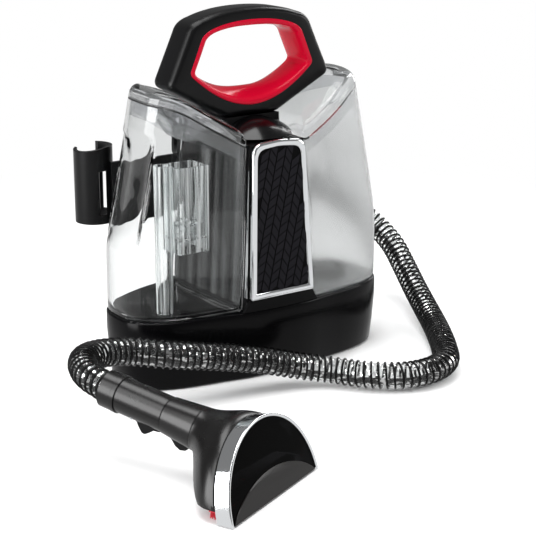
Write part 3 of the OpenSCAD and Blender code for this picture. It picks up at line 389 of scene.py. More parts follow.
values = {
    "Wall Radius": HOSE_WALL_RADIUS,
    "Rib Radius": RIB_RADIUS,
    "Rib Pitch": RIB_PITCH,
    "Wall Sag": WALL_SAG,
    "Wall Material": smoky_vinyl,
    "Rib Material": black_vinyl,
}
tree, given = node_tree("ribbed hose", values)
pitch = given["Rib Pitch"]
along = add(tree, "GeometryNodeSplineParameter").outputs["Length"]
angle = rib_angle(tree, along, pitch)
side = add(tree, "GeometryNodeInputNormal")
other = vectors(tree, "CROSS_PRODUCT", add(tree, "GeometryNodeInputTangent"), side)
offsets = []
for direction, wave in ((side, "COSINE"), (other, "SINE")):
    reach = maths(tree, "MULTIPLY", maths(tree, wave, angle), given["Wall Radius"])
    offsets.append(vectors(tree, "SCALE", direction, Scale=reach))
rib_line = resampled(tree, given["Geometry"], pitch, RIB_STEPS)
helix = moved(tree, rib_line, vectors(tree, "ADD", *offsets))
rib_profile = circle(tree, RIB_CORNERS, given["Rib Radius"])
inputs = {"Curve": helix, "Profile Curve": rib_profile, "Fill Caps": True}
rib = marked(tree, add(tree, "GeometryNodeCurveToMesh", inputs), "rib", True, "BOOLEAN", "FACE")

wall_line = resampled(tree, given["Geometry"], pitch, WALL_STEPS)
wall_line = marked(tree, wall_line, "along", along, "FLOAT")
outward = vectors(tree, "NORMALIZE", add(tree, "GeometryNodeInputPosition"))
wall_profile = circle(tree, WALL_CORNERS, given["Wall Radius"])
wall_profile = marked(tree, wall_profile, "around", outward, "FLOAT_VECTOR")
wall = add(tree, "GeometryNodeCurveToMesh", {"Curve": wall_line, "Profile Curve": wall_profile})

# between two turns of the rib the wall sags in a little
angle = rib_angle(tree, stored(tree, "along", "FLOAT"), pitch)
rib_way = xyz(tree, maths(tree, "COSINE", angle), maths(tree, "SINE", angle))
facing = vectors(tree, "DOT_PRODUCT", rib_way, stored(tree, "around", "FLOAT_VECTOR"))
share = ranged(tree, facing.outputs["Value"], 1.0, -1.0, 0.0, -1.0)
sag = maths(tree, "MULTIPLY", share, given["Wall Sag"])
wall = moved(tree, wall, vectors(tree, "SCALE", add(tree, "GeometryNodeInputNormal"), Scale=sag))

both = add(tree, "GeometryNodeJoinGeometry")
for part in (wall, rib):
    soft = add(tree, "GeometryNodeSetShadeSmooth", {"Geometry": part})
    tree.links.new(soft.outputs[0], both.inputs[0])
walled, is_rib = real(tree, both, given["Wall Material"]), stored(tree, "rib", "BOOLEAN")
inputs = {"Geometry": walled, "Selection": is_rib, "Material": given["Rib Material"]}
add(tree, "NodeGroupOutput", {0: add(tree, "GeometryNodeSetMaterial", inputs)})

hose_line = through(HOSE_ROUTE, ROUTE_STEPS)
hose = grown("ribbed_hose", curve_of("hose_line", hose_line), tree, values)
fitted(hose, "machine", "hose")

# the solution line, a plain black tube that lies in the bottom of the hose
line_path = [p - Vector((0, 0, LINE_DROP)) for p in hose_line[LINE_TUCK:-LINE_TUCK]]
line_curve = curve_of("line_path", line_path)
line_curve.data.bevel_depth = LINE_RADIUS
line_curve.data.bevel_resolution = 3
line_curve.data.use_fill_caps = True
inner_line = settled("inner_line", line_curve)
inner_line.data.materials.append(black_vinyl)
fitted(inner_line, "machine", "solution_line")


# ---- Base
# The machine stands on a deep gloss black ABS moulding, closed below by a bottom cover that
# six screws hold; four rubber pads lie flush in the cover.
MERGE_DISTANCE = 2e-5
FLAT_ANGLE = radians(0.3)


def smoothed(name, mesh, material, sharp):
    """A piece of that mesh in its material, shaded smooth up to a sharp angle."""
    mesh.shade_smooth()
    mesh.set_sharp_from_angle(angle=radians(sharp))
    mesh.materials.append(material)
    return placed(name, mesh)


def dressed(node, material, bevel_mm, sharp=32.0, steps=2):
    """A CAD node's shape with merged points, softened edges and its finish."""
    shape = bmesh.new()
    shape.from_mesh(nodes[node].data)
    bmesh.ops.remove_doubles(shape, verts=shape.verts, dist=MERGE_DISTANCE)
    bmesh.ops.dissolve_limit(shape, angle_limit=FLAT_ANGLE, verts=shape.verts, edges=shape.edges)
    mesh = bpy.data.meshes.new(node + "_finish")
    shape.to_mesh(mesh)
    shape.free()
    obj = smoothed(node + "_finish", mesh, material, sharp)
    if bevel_mm:
        bevel = obj.modifiers.new("soft edges", "BEVEL")
        bevel.width = bevel_mm / 1000.0
        bevel.segments = steps
        bevel.limit_method = "ANGLE"
        bevel.angle_limit = radians(sharp)
    return fitted(obj, nodes[node]["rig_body"], node)


# polished tool steel gives the base a deep, even gloss; the cover is left as moulded
gloss_abs = plastic("gloss black ABS", "#040405", 0.20, 0.05, 1.2, 0.03, shine=0.1)
satin_abs = plastic("satin black ABS", "#080809", 0.31, 0.05, 0.9, 0.05, shine=0.2)
# moulded rubber is dull; the screws have a bright zinc plating
black_rubber = plastic("black rubber", "#151516", 0.62, 0.08, 1.6, 0.12)
zinc_steel = plastic("zinc plated steel", "#b9bcc0", 0.30, 0.08, 0.8, 0.05, metal=1.0)

MATTE = "matte_black_plastic"
dressed("base_housing", gloss_abs, 0.8, sharp=30.0)
dressed("bottom_cover", satin_abs, 0.4, sharp=30.0)
dressed("foot_pads", black_rubber, 0.3, sharp=30.0)
dressed("base_screws", zinc_steel, 0.15, sharp=30.0)


# ---- Tower
# Two matt black shells stand between the tanks, split front and back, and carry the handle;
# the front shell has the bowed sill under the panel.
# a finely eroded tool leaves the tower's shells duller than the rest
tower_abs = plastic("matt black ABS", "#060607", 0.38, 0.05, 0.9, 0.05, shine=0.1)
tower_front = dressed("tower_front", tower_abs, 0.8, sharp=30.0)
dressed("tower_rear", tower_abs, 0.8, sharp=30.0)


# ---- Works
# Motor, fan, pump, ducts, seals and tubes sit inside the base and tower, out of sight; each
# keeps its own shape and the finish of its real material.
# the motor's can is painted, the fan is cast, pump and tubes are plastic without pigment
painted_steel = plastic("painted motor can", "#45474a", 0.34, 0.08, 2.0, 0.08, metal=0.6)
cast_aluminium = plastic("cast aluminium", "#c4c6c8", 0.34, 0.10, 1.2, 0.10, metal=1.0)
natural_pp = plastic("natural polypropylene", "#d9d5c8", 0.45, 0.08, 2.0, 0.08)
clear_tube = clear("clear vinyl tube", "#dfe3e3", 0.08, 1.53, "#cfd3d3")
for node, material, slot in (
    ("power_switch", satin_abs, MATTE),
    ("suction_motor", painted_steel, "motor_metal"),
    ("motor_mount", black_rubber, "black_rubber"),
    ("fan_housing", satin_abs, MATTE),
    ("fan_impeller", cast_aluminium, "fan_aluminium"),
    ("suction_duct", satin_abs, MATTE),
    ("inlet_duct", satin_abs, MATTE),
    ("port_seal", black_rubber, "black_rubber"),
    ("air_seal", black_rubber, "black_rubber"),
    ("pump", natural_pp, "natural_plastic"),
    ("pump_inlet_tube", clear_tube, "clear_tubing"),
    ("pump_outlet_tube", clear_tube, "clear_tubing"),
    ("valve_seat", black_rubber, "black_rubber"),
):
    dressed(node, material, 0.3)


# ---- Back fittings
# Hose port with its cuff, two cord hooks and the C-shaped tool clip are satin black mouldings
# screwed to the tower's back; the cord gland below the hooks is rubber.
for node in ("hose_port", "hose_cuff", "cord_hook_lower", "cord_hook_upper", "tool_clip"):
    dressed(node, satin_abs, 0.7)
dressed("cord_gland", black_rubber, 0.5)


# ---- Tanks
# Two injection-moulded SAN tanks, the dirty one clear, faintly smoky, the clean one frosted, each
# closed by a crowned top with a collar inside its rim: a lid on a gasket, and a welded top.
# SAN is a clear, brittle plastic; collars and trough are thin and pale, and the inner pieces carry
# upright streaks of painted highlight
clear_san = clear("clear smoky SAN", "#f0f1f1", 0.015, 1.54, "#eceeee")
clean_san = clear("faintly frosted SAN", "#e2e3e3", 0.20, 1.52, "#e4e6e6", 0.88)
pale_san = film("pale smoked SAN", "#fbfbfb", "#f3f3f4", 0.06, 40.0, 0.08, 0.0, 0.1)
inner_highlight_san = clear("inner SAN with painted highlight streaks", "#f6f7f7", 0.04, 1.50, "#e2e4e4")
# the flat wall beside the tower is thin; its upright milky streaks are painted highlights that
# stand for the lamps' reflections
side_wall_highlight_san = film("side wall SAN with painted highlight streaks", "#fafafa", "#ececec", 0.08, 40.0, 0.1, 0.0, 0.05, 1.2)


def drawn_noise(tree, scales, detail):
    """A pattern that is drawn out along the way of the least scale."""
    place = add(tree, "ShaderNodeTexCoord").outputs["Object"]
    return noise(tree, vectors(tree, "MULTIPLY", place, scales), 1.0, detail)


# bright upright streaks on the inner pieces are painted highlights: less light passes there, so
# the milky white body shows
INNER_HIGHLIGHT_SCALES, INNER_HIGHLIGHT_DETAIL = (330.0, 330.0, 9.0), 1.0
INNER_HIGHLIGHT_LOW, INNER_HIGHLIGHT_HIGH, INNER_HIGHLIGHT_PASSES = 0.48, 0.66, 0.45
tree = inner_highlight_san.node_tree
inner_highlights = drawn_noise(tree, INNER_HIGHLIGHT_SCALES, INNER_HIGHLIGHT_DETAIL)
highlight_passes = ranged(tree, inner_highlights, INNER_HIGHLIGHT_LOW, INNER_HIGHLIGHT_HIGH, 1.0, INNER_HIGHLIGHT_PASSES)
glass = tree.nodes["Principled BSDF"].inputs
tree.links.new(highlight_passes.outputs[0], glass["Transmission Weight"])

# upright streaks of milky white on the side wall: painted highlights
WALL_HIGHLIGHT_SCALES, WALL_HIGHLIGHT_DETAIL = (0.0, 80.0, 2.0), 2.0
WALL_HIGHLIGHT_LOW, WALL_HIGHLIGHT_HIGH, WALL_HIGHLIGHT_WEIGHT = 0.47, 0.75, 0.12
tree = side_wall_highlight_san.node_tree
wall_highlights = drawn_noise(tree, WALL_HIGHLIGHT_SCALES, WALL_HIGHLIGHT_DETAIL)
wall_highlight_share = ranged(tree, wall_highlights, WALL_HIGHLIGHT_LOW, WALL_HIGHLIGHT_HIGH, 0.0, WALL_HIGHLIGHT_WEIGHT)
wall_highlight_paint = add(tree, "ShaderNodeBsdfDiffuse", {"Color": linear("#dcdddd")})
wall_mix = tree.nodes["Mix Shader"].inputs
tree.links.new(wall_highlight_share.outputs[0], wall_mix[0])
tree.links.new(wall_highlight_paint.outputs[0], wall_mix[2])

BODY_HALF_W = 0.145
FRONT_DEPTH = 0.060
BACK_DEPTH = 0.074
SEAM_Z = 0.066
TANK_GAP = 0.0006
TANK_IN, TANK_IN_BACK = 0.001, 0.003
TOWER_LOW, TOWER_TOP = 0.038, 0.030
SIDE_GAP = 0.001
BOW_FRONT, BOW_BACK = 3.0, 2.2
CORNER_R, LEAST_CORNER_R = 0.005, 0.002
CORNER_Z = 0.228
TANK_RISE = 0.53
TANK_CROWN = 0.012
CROWN_Y, CROWN_HALF = 0.006, FRONT_DEPTH + 0.006
END_FROM, END_RUN, END_FALL = 0.060, 0.030, 0.009
LEAN_START, LEAN_BLEND, LEAN_SLOPE = 0.112, 0.040, 0.2
LEAN_FRONT, LEAN_BACK = 0.2, 0.5
WALL = 0.0025
FOOT_R, FOOT_IN, INNER_FOOT = 0.003, 0.0009, 0.002
LID_H = 0.012
SKIRT_H, SKIRT_TOP, SKIRT_BANDS = 0.014, 0.0015, 3
RIM_R, RIM_STEPS = 0.007, 6
GASKET, GASKET_IN = 0.0015, 0.0004
LID_GAP = 0.0003
REST = 0.00005
MID_Z, TOP_PLAN_Z = 0.250, 0.260
TANK_MIDDLE = (-0.075, 0.004)
DENT_D, DENT_Z, DENT_HALF_H, DENT_HALF_L = 0.011, 0.184, 0.050, 0.030
DENT_X = -0.09
ARC_N = 44
CORNER_N = 7
LEVELS = 34
TANK_Z0 = SEAM_Z + TANK_GAP
INNER_SHARES = (0.02, 0.3, 0.55, 0.8)
OUTER_SHARES = (0.85, 0.6, 0.35, 0.15, 0.02)
FLAT_WALL_X, FLAT_WALL_FACING = 0.060, 0.95


def side_lean(z):
    """How far the tank's outer side has leaned in at a height."""
    d = z - LEAN_START
    if d <= 0:
        return 0.0
    if d < LEAN_BLEND:
        return LEAN_SLOPE * d * d / (2 * LEAN_BLEND)
    return LEAN_SLOPE * (d - LEAN_BLEND / 2)


def bowed(x, a, b, power):
    """Depth of a rounded outline at a distance from its middle."""
    return b * max(0.0, 1.0 - (abs(x) / a) ** power) ** (1.0 / power)


def tank_plan(z, inset):
    """The dirty tank's outline at a height, drawn in by an inset."""
    lean = side_lean(z)
    a = BODY_HALF_W - TANK_IN - lean - inset
    front = FRONT_DEPTH - TANK_IN - LEAN_FRONT * lean - inset
    back = BACK_DEPTH - TANK_IN_BACK - LEAN_BACK * lean - inset
    tower = TOWER_LOW + (TOWER_TOP - TOWER_LOW) * (z - SEAM_Z) / (CORNER_Z - SEAM_Z)
    r = max(LEAST_CORNER_R, CORNER_R - inset)
    start = tower + SIDE_GAP + inset + r
    xs = [start + (a - start) * sin(pi / 2 * k / ARC_N) for k in range(ARC_N + 1)]
    plan = [(-x, bowed(x, a, back, BOW_BACK)) for x in xs]
    plan += [(-x, -bowed(x, a, front, BOW_FRONT)) for x in reversed(xs[:-1])]
    near, far = -bowed(start, a, front, BOW_FRONT) + r, bowed(start, a, back, BOW_BACK) - r
    for turn, y, steps in ((270, near, range(1, CORNER_N + 1)), (0, far, range(CORNER_N))):
        for k in steps:
            t = radians(turn + 90 * k / CORNER_N)
            plan.append((-start + r * cos(t), y + r * sin(t)))
    return plan


def tank_top(x, y):
    """Height of the tank's crowned top over a point of its plan."""
    across = (y - CROWN_Y) / CROWN_HALF
    end = max(0.0, abs(x) - BODY_HALF_W + END_FROM) / END_RUN
    ridge = CORNER_Z + TANK_RISE * (abs(x) - TOWER_TOP) - END_FALL * end * end
    return ridge + TANK_CROWN * (1 - across * across)


def dent(x, y, z):
    """Depth of the finger recess at a point of the tank's side."""
    u, w = y / DENT_HALF_L, (z - DENT_Z) / DENT_HALF_H
    if x > DENT_X or abs(u) > 1 or abs(w) > 1:
        return 0.0
    return DENT_D * (1 - u**4) * (1 - w**4)


def tank_ring(share, drop, inset, lift=0.0):
    """A level of the tank, at a share of its height below a drop from its top."""
    ring = []
    for i, (x, y) in enumerate(tank_plan(MID_Z, inset)):
        z0 = TANK_Z0 + lift
        z = z0 + share * (tank_top(x, y) - drop - z0)
        x, y = tank_plan(z, inset)[i]
        ring.append((x + dent(x, y, z), y, z))
    return ring


def top_ring(scale, drop, inset):
    """The tank's outline shrunk about its middle, laid on its crowned top."""
    ring = []
    for x, y in tank_plan(TOP_PLAN_Z, inset):
        x = TANK_MIDDLE[0] + scale * (x - TANK_MIDDLE[0])
        y = TANK_MIDDLE[1] + scale * (y - TANK_MIDDLE[1])
        ring.append((x, y, tank_top(x, y) - drop))
    return ring


def lofted(
    name, rings, material, body, slot, node=None, closed=False, mirror=False, sharp=50.0
):
    """A skin through rings of points, capped at both ends or closed like a tyre."""
    count = len(rings[0])
    points = [(-x if mirror else x, y, z) for ring in rings for x, y, z in ring]
    faces = []
    for i in range(len(rings) - (0 if closed else 1)):
        k = (i + 1) % len(rings)
        for j in range(count):
            l = (j + 1) % count
            faces.append((i * count + j, i * count + l, k * count + l, k * count + j))
    if not closed:
        last = (len(rings) - 1) * count
        faces.append(tuple(range(count - 1, -1, -1)))
        faces.append(tuple(range(last, last + count)))
    mesh = bpy.data.meshes.new(name)
    mesh.from_pydata(points, [], faces)
    shape = bmesh.new()
    shape.from_mesh(mesh)
    bmesh.ops.recalc_face_normals(shape, faces=shape.faces)
    shape.to_mesh(mesh)
    shape.free()
    return fitted(smoothed(name, mesh, material, sharp), body, node)


shares = [i / LEVELS for i in range(2, LEVELS + 1)]
levels = [(0, FOOT_R, 0.0), (0, FOOT_IN, FOOT_IN), (0, 0.0, FOOT_R)]
levels += [(s, 0.0, 0.0) for s in shares] + [(s, WALL, 0.0) for s in reversed(shares)]
levels += [(0, WALL, WALL + FOOT_R), (0, WALL + INNER_FOOT, WALL)]
cup_rings = [tank_ring(share, LID_H, inset, lift) for share, inset, lift in levels]


def cover_rings(rest):
    """Collar, rim and crowned face of a tank's top, resting that far above the cup."""
    outside = WALL + LID_GAP
    inside = outside + WALL
    low, seat = LID_H + SKIRT_H, LID_H - rest
    section = [(WALL + SKIRT_TOP, inside), (low, inside), (low, outside), (seat, outside)]
    section.append((seat, 0.0))
    for k in range(RIM_STEPS + 1):
        t = radians(90 * k / RIM_STEPS)
        section.append((RIM_R * (1 - sin(t)), RIM_R * (1 - cos(t))))
    rings = [top_ring(f, WALL, inside) for f in INNER_SHARES]
    rings += [tank_ring(1, drop, inset) for drop, inset in section]
    return rings + [top_ring(f, 0.0, RIM_R) for f in OUTER_SHARES]


for tank, mirror, wall, top_node, rest in (
    ("waste_tank", False, clear_san, "waste_lid", GASKET),
    ("clean_tank", True, clean_san, "clean_top", REST),
):
    cup = lofted(tank + "_cup", cup_rings, wall, tank, "clear_plastic", tank, mirror=mirror)
    # the flat wall beside the tower gets the painted highlight streaks
    cup.data.materials.append(side_wall_highlight_san)
    for face in cup.data.polygons:
        if abs(face.center.x) < FLAT_WALL_X and abs(face.normal.x) > FLAT_WALL_FACING:
            face.material_index = 1
    rings = cover_rings(rest)
    top = lofted(
        top_node + "_shell", rings, clear_san, tank, "clear_plastic", top_node, mirror=mirror
    )
    # the collar is the bands of faces that follow the top's inner face
    top.data.materials.append(pale_san)
    count, first = len(rings[0]), len(INNER_SHARES)
    for face in top.data.polygons[first * count : (first + SKIRT_BANDS) * count]:
        face.material_index = 1

low, high = LID_H - REST, LID_H - GASKET + REST
section = ((low, GASKET_IN), (high, GASKET_IN), (high, WALL), (low, WALL))
rings = [tank_ring(1, drop, inset) for drop, inset in section]
lofted(
    "lid_gasket", rings, black_rubber, "waste_tank", "black_rubber", "waste_gasket", closed=True
)

# a clear trough hangs under the lid and turns the incoming spray down into the tank
TROUGH_X0, TROUGH_X1, TROUGH_Y = -0.108, -0.066, -0.024
TROUGH_HALF, TROUGH_DEEP, TROUGH_WALL = 0.015, 0.030, 0.0022
TROUGH_DROP, TROUGH_SEAM = 0.0085, 0.0001
TROUGH_END_RISE, TROUGH_ROUND = 0.75, 0.6
TROUGH_N, TROUGH_ARC_N = 8, 16
rings = []
for k in range(TROUGH_N + 1):
    x = TROUGH_X0 + (TROUGH_X1 - TROUGH_X0) * k / TROUGH_N
    deep = TROUGH_DEEP * (1 - TROUGH_END_RISE * (2 * k / TROUGH_N - 1) ** 4)
    top_z = tank_top(x, TROUGH_Y) - TROUGH_DROP
    outer, inner = [], []
    for j in range(TROUGH_ARC_N + 1):
        t = pi * j / TROUGH_ARC_N
        across, down = cos(t), sin(t) ** TROUGH_ROUND
        outer.append((x, TROUGH_Y + TROUGH_HALF * across, top_z - deep * down))
        y = TROUGH_Y + (TROUGH_HALF - TROUGH_WALL) * across
        inner.append((x, y, top_z - max(0.0, deep * down - TROUGH_WALL) - TROUGH_SEAM))
    rings.append(outer + inner[::-1])
lofted("lid_trough", rings, pale_san, "waste_tank", "clear_plastic", sharp=40.0)

dressed("standpipe", inner_highlight_san, 0.2)
dressed("float_shield", inner_highlight_san, 0.3)
dressed("float", inner_highlight_san, 0.5)
dressed("filler_cap", satin_abs, 0.4)
# acetal slides well, so the valve's poppet is made of it
grey_pom = plastic("grey acetal", "#2e2f31", 0.40, 0.06, 1.5, 0.05)
dressed("valve_poppet", grey_pom, 0.2)


# ---- Handle
# Two satin black shells make the arched carrying handle; a gloss red ring lines its hand
# opening and clips the shells together.
# the ring is dyed in the mass and polished
red_abs = plastic("gloss red ABS", "#c4082b", 0.16, 0.04, 20.0, 0.05, shift=0.06, shine=0.15)

HEAD_Y = 0.017
HEAD_LOW_Z = 0.241
HEAD_MIDDLE = (0.0, 0.288)
HANDLE_HALF_W = 0.091
HANDLE_TOP_HALF = 0.065
HANDLE_TOP_Z = 0.341
SHOULDER_Z = HEAD_LOW_Z + TANK_RISE * (HANDLE_HALF_W - TOWER_TOP)
SHOULDER_R = 0.007
CROWN_DROP, CROWN_R = 0.011, 0.009
CROWN_PULL, CROWN_END = Vector((0.0005, 0.0005)), Vector((-0.012, 0.0035))
EDGE_D, EDGE_IN, EDGE_STEPS = 0.009, 0.006, 6
INNER_IN, INNER_D = 0.004, 0.001
RIM_SIDE, RIM_TOP = 0.022, 0.011
RING_W = 0.007
RING_LOW_Z = 0.251
RING_SIDE = HANDLE_HALF_W - RIM_SIDE
RING_TOP_HALF = HANDLE_TOP_HALF - RIM_TOP
RING_TOP_Z = HANDLE_TOP_Z - RIM_TOP
RING_CORNER_RISE, RING_UPPER_DROP = 0.011, 0.010
RING_BELLY = 0.45
DIP_R, CORNER_RUN, UPPER_R = 0.005, 0.004, 0.006
UPPER_END = Vector((-0.009, 0.0035))
RING_SEAT, RING_PROUD = 0.00002, 0.0006
RING_EDGE, RING_ROUND = 0.0008, 0.0025
FINE = 4


def bend(a, c, b, n):
    """Points on a curve from a to b that is pulled towards c."""
    a, b, c = Vector(a), Vector(b), Vector(c)
    return [(a.lerp(c, i / n)).lerp(c.lerp(b, i / n), i / n) for i in range(n)]


def straight(a, b, n):
    """Points on a line from a up to b."""
    return [Vector(a).lerp(Vector(b), i / n) for i in range(n)]


def both_sides(half):
    """A whole outline from its right half."""
    return half + [Vector((-p.x, p.y)) for p in half[-2:0:-1]]


low = Vector((TOWER_TOP, HEAD_LOW_Z))
shoulder = Vector((HANDLE_HALF_W, SHOULDER_Z))
crown = Vector((HANDLE_TOP_HALF, HANDLE_TOP_Z - CROWN_DROP))
rise, slope = (shoulder - low).normalized(), (crown - shoulder).normalized()
before, after = shoulder - SHOULDER_R * rise, shoulder + SHOULDER_R * slope
top_from, top_to = crown - CROWN_R * slope, crown + CROWN_END
top_middle = Vector((0, HANDLE_TOP_Z))
head_outline = both_sides(
    straight((0, HEAD_LOW_Z), low, 3 * FINE)
    + straight(low, before, 6 * FINE)
    + bend(before, shoulder, after, 3 * FINE)
    + straight(after, top_from, 4 * FINE)
    + bend(top_from, crown + CROWN_PULL, top_to, 4 * FINE)
    + bend(top_to, (HANDLE_TOP_HALF / 2, HANDLE_TOP_Z), top_middle, 4 * FINE)
    + [top_middle]
)
corner = Vector((RING_SIDE, SHOULDER_Z + RING_CORNER_RISE))
upper = Vector((RING_TOP_HALF, RING_TOP_Z - RING_UPPER_DROP))
slope = (upper - corner).normalized()
belly = Vector((RING_SIDE * RING_BELLY, RING_LOW_Z))
dip = corner - DIP_R * (corner - belly).normalized()
after = corner + CORNER_RUN * slope
top_from, top_to = upper - UPPER_R * slope, upper + UPPER_END
top_middle = Vector((0, RING_TOP_Z))
ring_outline = both_sides(
    bend((0, RING_LOW_Z), belly, dip, 9 * FINE)
    + bend(dip, corner, after, 3 * FINE)
    + straight(after, top_from, 4 * FINE)
    + bend(top_from, upper, top_to, 4 * FINE)
    + bend(top_to, (RING_TOP_HALF / 2, RING_TOP_Z), top_middle, 4 * FINE)
    + [top_middle]
)


def drawn(outline, depth, y, sill=0.0):
    """An outline drawn in towards the handle's middle, with more of it at the bottom."""
    middle = Vector(HEAD_MIDDLE)
    ring = []
    for p in outline:
        low_share = max(0.0, (middle.y - p.y) / (middle.y - RING_LOW_Z))
        q = p - (depth + sill * low_share) * (p - middle).normalized()
        ring.append((q.x, y, q.y))
    return ring


for node, flip in (("handle_front", 1), ("handle_rear", -1)):
    rings = [drawn(head_outline, 0.0, 0.0), drawn(head_outline, 0.0, flip * (EDGE_D - HEAD_Y))]
    for k in range(1, EDGE_STEPS + 1):
        t = radians(90 * k / EDGE_STEPS)
        y = flip * (EDGE_D - HEAD_Y - EDGE_D * sin(t))
        rings.append(drawn(head_outline, EDGE_IN * (1 - cos(t)), y))
    rings += [drawn(ring_outline, 0.0, -flip * HEAD_Y), drawn(ring_outline, 0.0, 0.0)]
    rings += [drawn(ring_outline, -WALL, 0.0), drawn(ring_outline, -WALL, flip * (WALL - HEAD_Y))]
    rings += [drawn(head_outline, WALL + INNER_IN, flip * (WALL + INNER_D - HEAD_Y))]
    rings += [drawn(head_outline, WALL, 0.0)]
    lofted(node + "_shell", rings, satin_abs, "machine", MATTE, node, closed=True, sharp=40.0)

# the ring's section: depth into the opening, how much more in mm at the bottom, and the place
# from front to back
face_y = HEAD_Y + RING_PROUD
ring_profile = [
    (RING_SEAT, 0.0, face_y - RING_EDGE),
    (RING_SEAT, 0.0, RING_EDGE - face_y),
    (0.0003, 0.0, 0.0002 - face_y),
    (0.001, 0.0, -face_y),
    (RING_W * 0.5, 0.0, -face_y),
    (RING_W * 0.68, 0.3, -face_y + RING_EDGE),
    (RING_W * 0.8, 1.0, -face_y + RING_ROUND),
    (RING_W * 0.92, 3.6, -HEAD_Y * 0.6),
    (RING_W, 7.0, -HEAD_Y * 0.3),
    (RING_W, 8.2, 0.0),
    (RING_W, 8.0, HEAD_Y * 0.3),
    (RING_W * 0.92, 6.8, HEAD_Y * 0.62),
    (RING_W * 0.8, 5.0, face_y - RING_ROUND),
    (RING_W * 0.68, 3.4, face_y - RING_EDGE),
    (RING_W * 0.5, 2.0, face_y),
    (0.001, 0.0, face_y),
    (0.0003, 0.0, face_y - 0.0002),
]
rings = [drawn(ring_outline, depth, y, sill / 1000) for depth, sill, y in ring_profile]
fit = ("machine", "red_plastic", "handle_ring")
lofted("handle_ring_liner", rings, red_abs, *fit, closed=True, sharp=60.0)


# ---- Front panel and button
# A chrome plated frame holds a black panel with a raised herringbone of graphite tiles; over it
# a polished black dome is the power button.
# chrome on ABS mirrors; the panel's ground is duller and darker than its raised tiles
chrome = plastic("chrome plated ABS", "#eceef0", 0.08, 0.03, 6.0, 0.02, metal=1.0)
black_panel = plastic("black panel ground", "#020203", 0.45, 0.06, 2.0, 0.05, shine=0.06)
panel_grey = plastic("graphite panel print", "#151419", 0.42, 0.06, 1.0, 0.04, shine=0.1)
dressed("front_bezel", chrome, 2.2, steps=4)
dressed("front_panel", black_panel, 0.0)

PANEL_LOW_HALF, PANEL_TOP_HALF = 0.036, 0.029


def cut(shape, place, across, **settings):
    """Cut a shape along a plane."""
    parts = shape.verts[:] + shape.edges[:] + shape.faces[:]
    return bmesh.ops.bisect_plane(shape, geom=parts, plane_co=place, plane_no=across, **settings)


# the plating wraps round the cheeks of the tower's nose, in front of the tanks
CHEEK_Y, CHEEK_LOW, CHEEK_TOP, CHEEK_FACING = -0.0555, 0.079, 0.226, 0.7
nose = tower_front.data
shape = bmesh.new()
shape.from_mesh(nose)
for place, across in (
    ((0, CHEEK_Y, 0), (0, 1, 0)),
    ((0, 0, CHEEK_LOW), (0, 0, 1)),
    ((0, 0, CHEEK_TOP), (0, 0, 1)),
):
    cut(shape, place, across)
nose.materials.append(chrome)
for face in shape.faces:
    middle = face.calc_center_median()
    on_nose = middle.y < CHEEK_Y and CHEEK_LOW < middle.z < CHEEK_TOP
    if on_nose and abs(face.normal.x) > CHEEK_FACING and abs(middle.x) > PANEL_TOP_HALF:
        face.material_index = 1
shape.to_mesh(nose)
shape.free()
# the button is polished brighter than the base
button_abs = plastic("polished black ABS", "#050506", 0.18, 0.04, 1.2, 0.02, shine=0.35)
dressed("power_button", button_abs, 0.6)

PANEL_LEAN = radians(2.6)
PANEL_Y, PANEL_Z = -0.067, 0.0773
PANEL_SINK = 0.0012
PANEL_H = 0.1477
BORDER = 0.0066
TILE_W = 0.0087
TILE_PITCH = 0.0090
TILE_JOINT = 0.0013
TILE_RISE = 0.0004
TILE_SLOPE = tan(radians(42))
PATTERN_TURN = radians(14)
TILE_COLUMNS, TILE_ROWS = 6, 12
EDGE_OVER = 0.001
CORNER_FROM, CORNER_CUT = 0.9, 0.006

values = {
    "Tile Width": TILE_W - TILE_JOINT,
    "Tile Height": TILE_PITCH - TILE_JOINT,
    "Tile Rise": 2 * TILE_RISE,
    "Tile Slope": TILE_SLOPE,
    "Finish": panel_grey,
}
tree, given = node_tree("herringbone tiles", values)
size = xyz(tree, given["Tile Width"], given["Tile Rise"], given["Tile Height"])
block = add(tree, "GeometryNodeMeshCube", {"Size": size})
spot = add(tree, "ShaderNodeSeparateXYZ", {0: add(tree, "GeometryNodeInputPosition")})
slant = maths(tree, "MULTIPLY", spot.outputs["X"], given["Tile Slope"])
tile = moved(tree, block, xyz(tree, z=slant))
turn = stored(tree, "turn", "FLOAT_VECTOR")
inputs = {"Points": given["Geometry"], "Instance": tile, "Rotation": turn}
laid = add(tree, "GeometryNodeInstanceOnPoints", inputs)
add(tree, "NodeGroupOutput", {0: real(tree, laid, given["Finish"])})

# tiles whose edge runs on under the frame are kept, so the pattern fills the panel
on_face = (
    Matrix.Translation((0, PANEL_Y, PANEL_Z))
    @ Matrix.Rotation(-PANEL_LEAN, 4, "X")
    @ Matrix.Translation((0, PANEL_SINK, PANEL_H / 2))
    @ Matrix.Rotation(PATTERN_TURN, 4, "Y")
)
spots, turns = [], []
for column in range(-TILE_COLUMNS, TILE_COLUMNS + 1):
    for row in range(-TILE_ROWS, TILE_ROWS + 1):
        x = (column + 0.5) * TILE_W
        z = (row + 0.5 * (column // 2 % 2)) * TILE_PITCH
        flat = Matrix.Rotation(PATTERN_TURN, 3, "Y") @ Vector((x, 0, z))
        share = flat.z / PANEL_H + 0.5
        half = PANEL_LOW_HALF + (PANEL_TOP_HALF - PANEL_LOW_HALF) * share - BORDER
        reach = half - CORNER_CUT if share > CORNER_FROM else half + EDGE_OVER
        if abs(flat.x) > reach or abs(flat.z) > PANEL_H / 2 - BORDER:
            continue
        spots.append(on_face @ Vector((x, 0, z)))
        flip = Matrix.Rotation(pi * (column % 2), 4, "Z")
        turns.append((on_face @ flip).to_euler())
mesh = bpy.data.meshes.new("tile_spots")
mesh.from_pydata(spots, [], [])
attribute = mesh.attributes.new("turn", "FLOAT_VECTOR", "POINT")
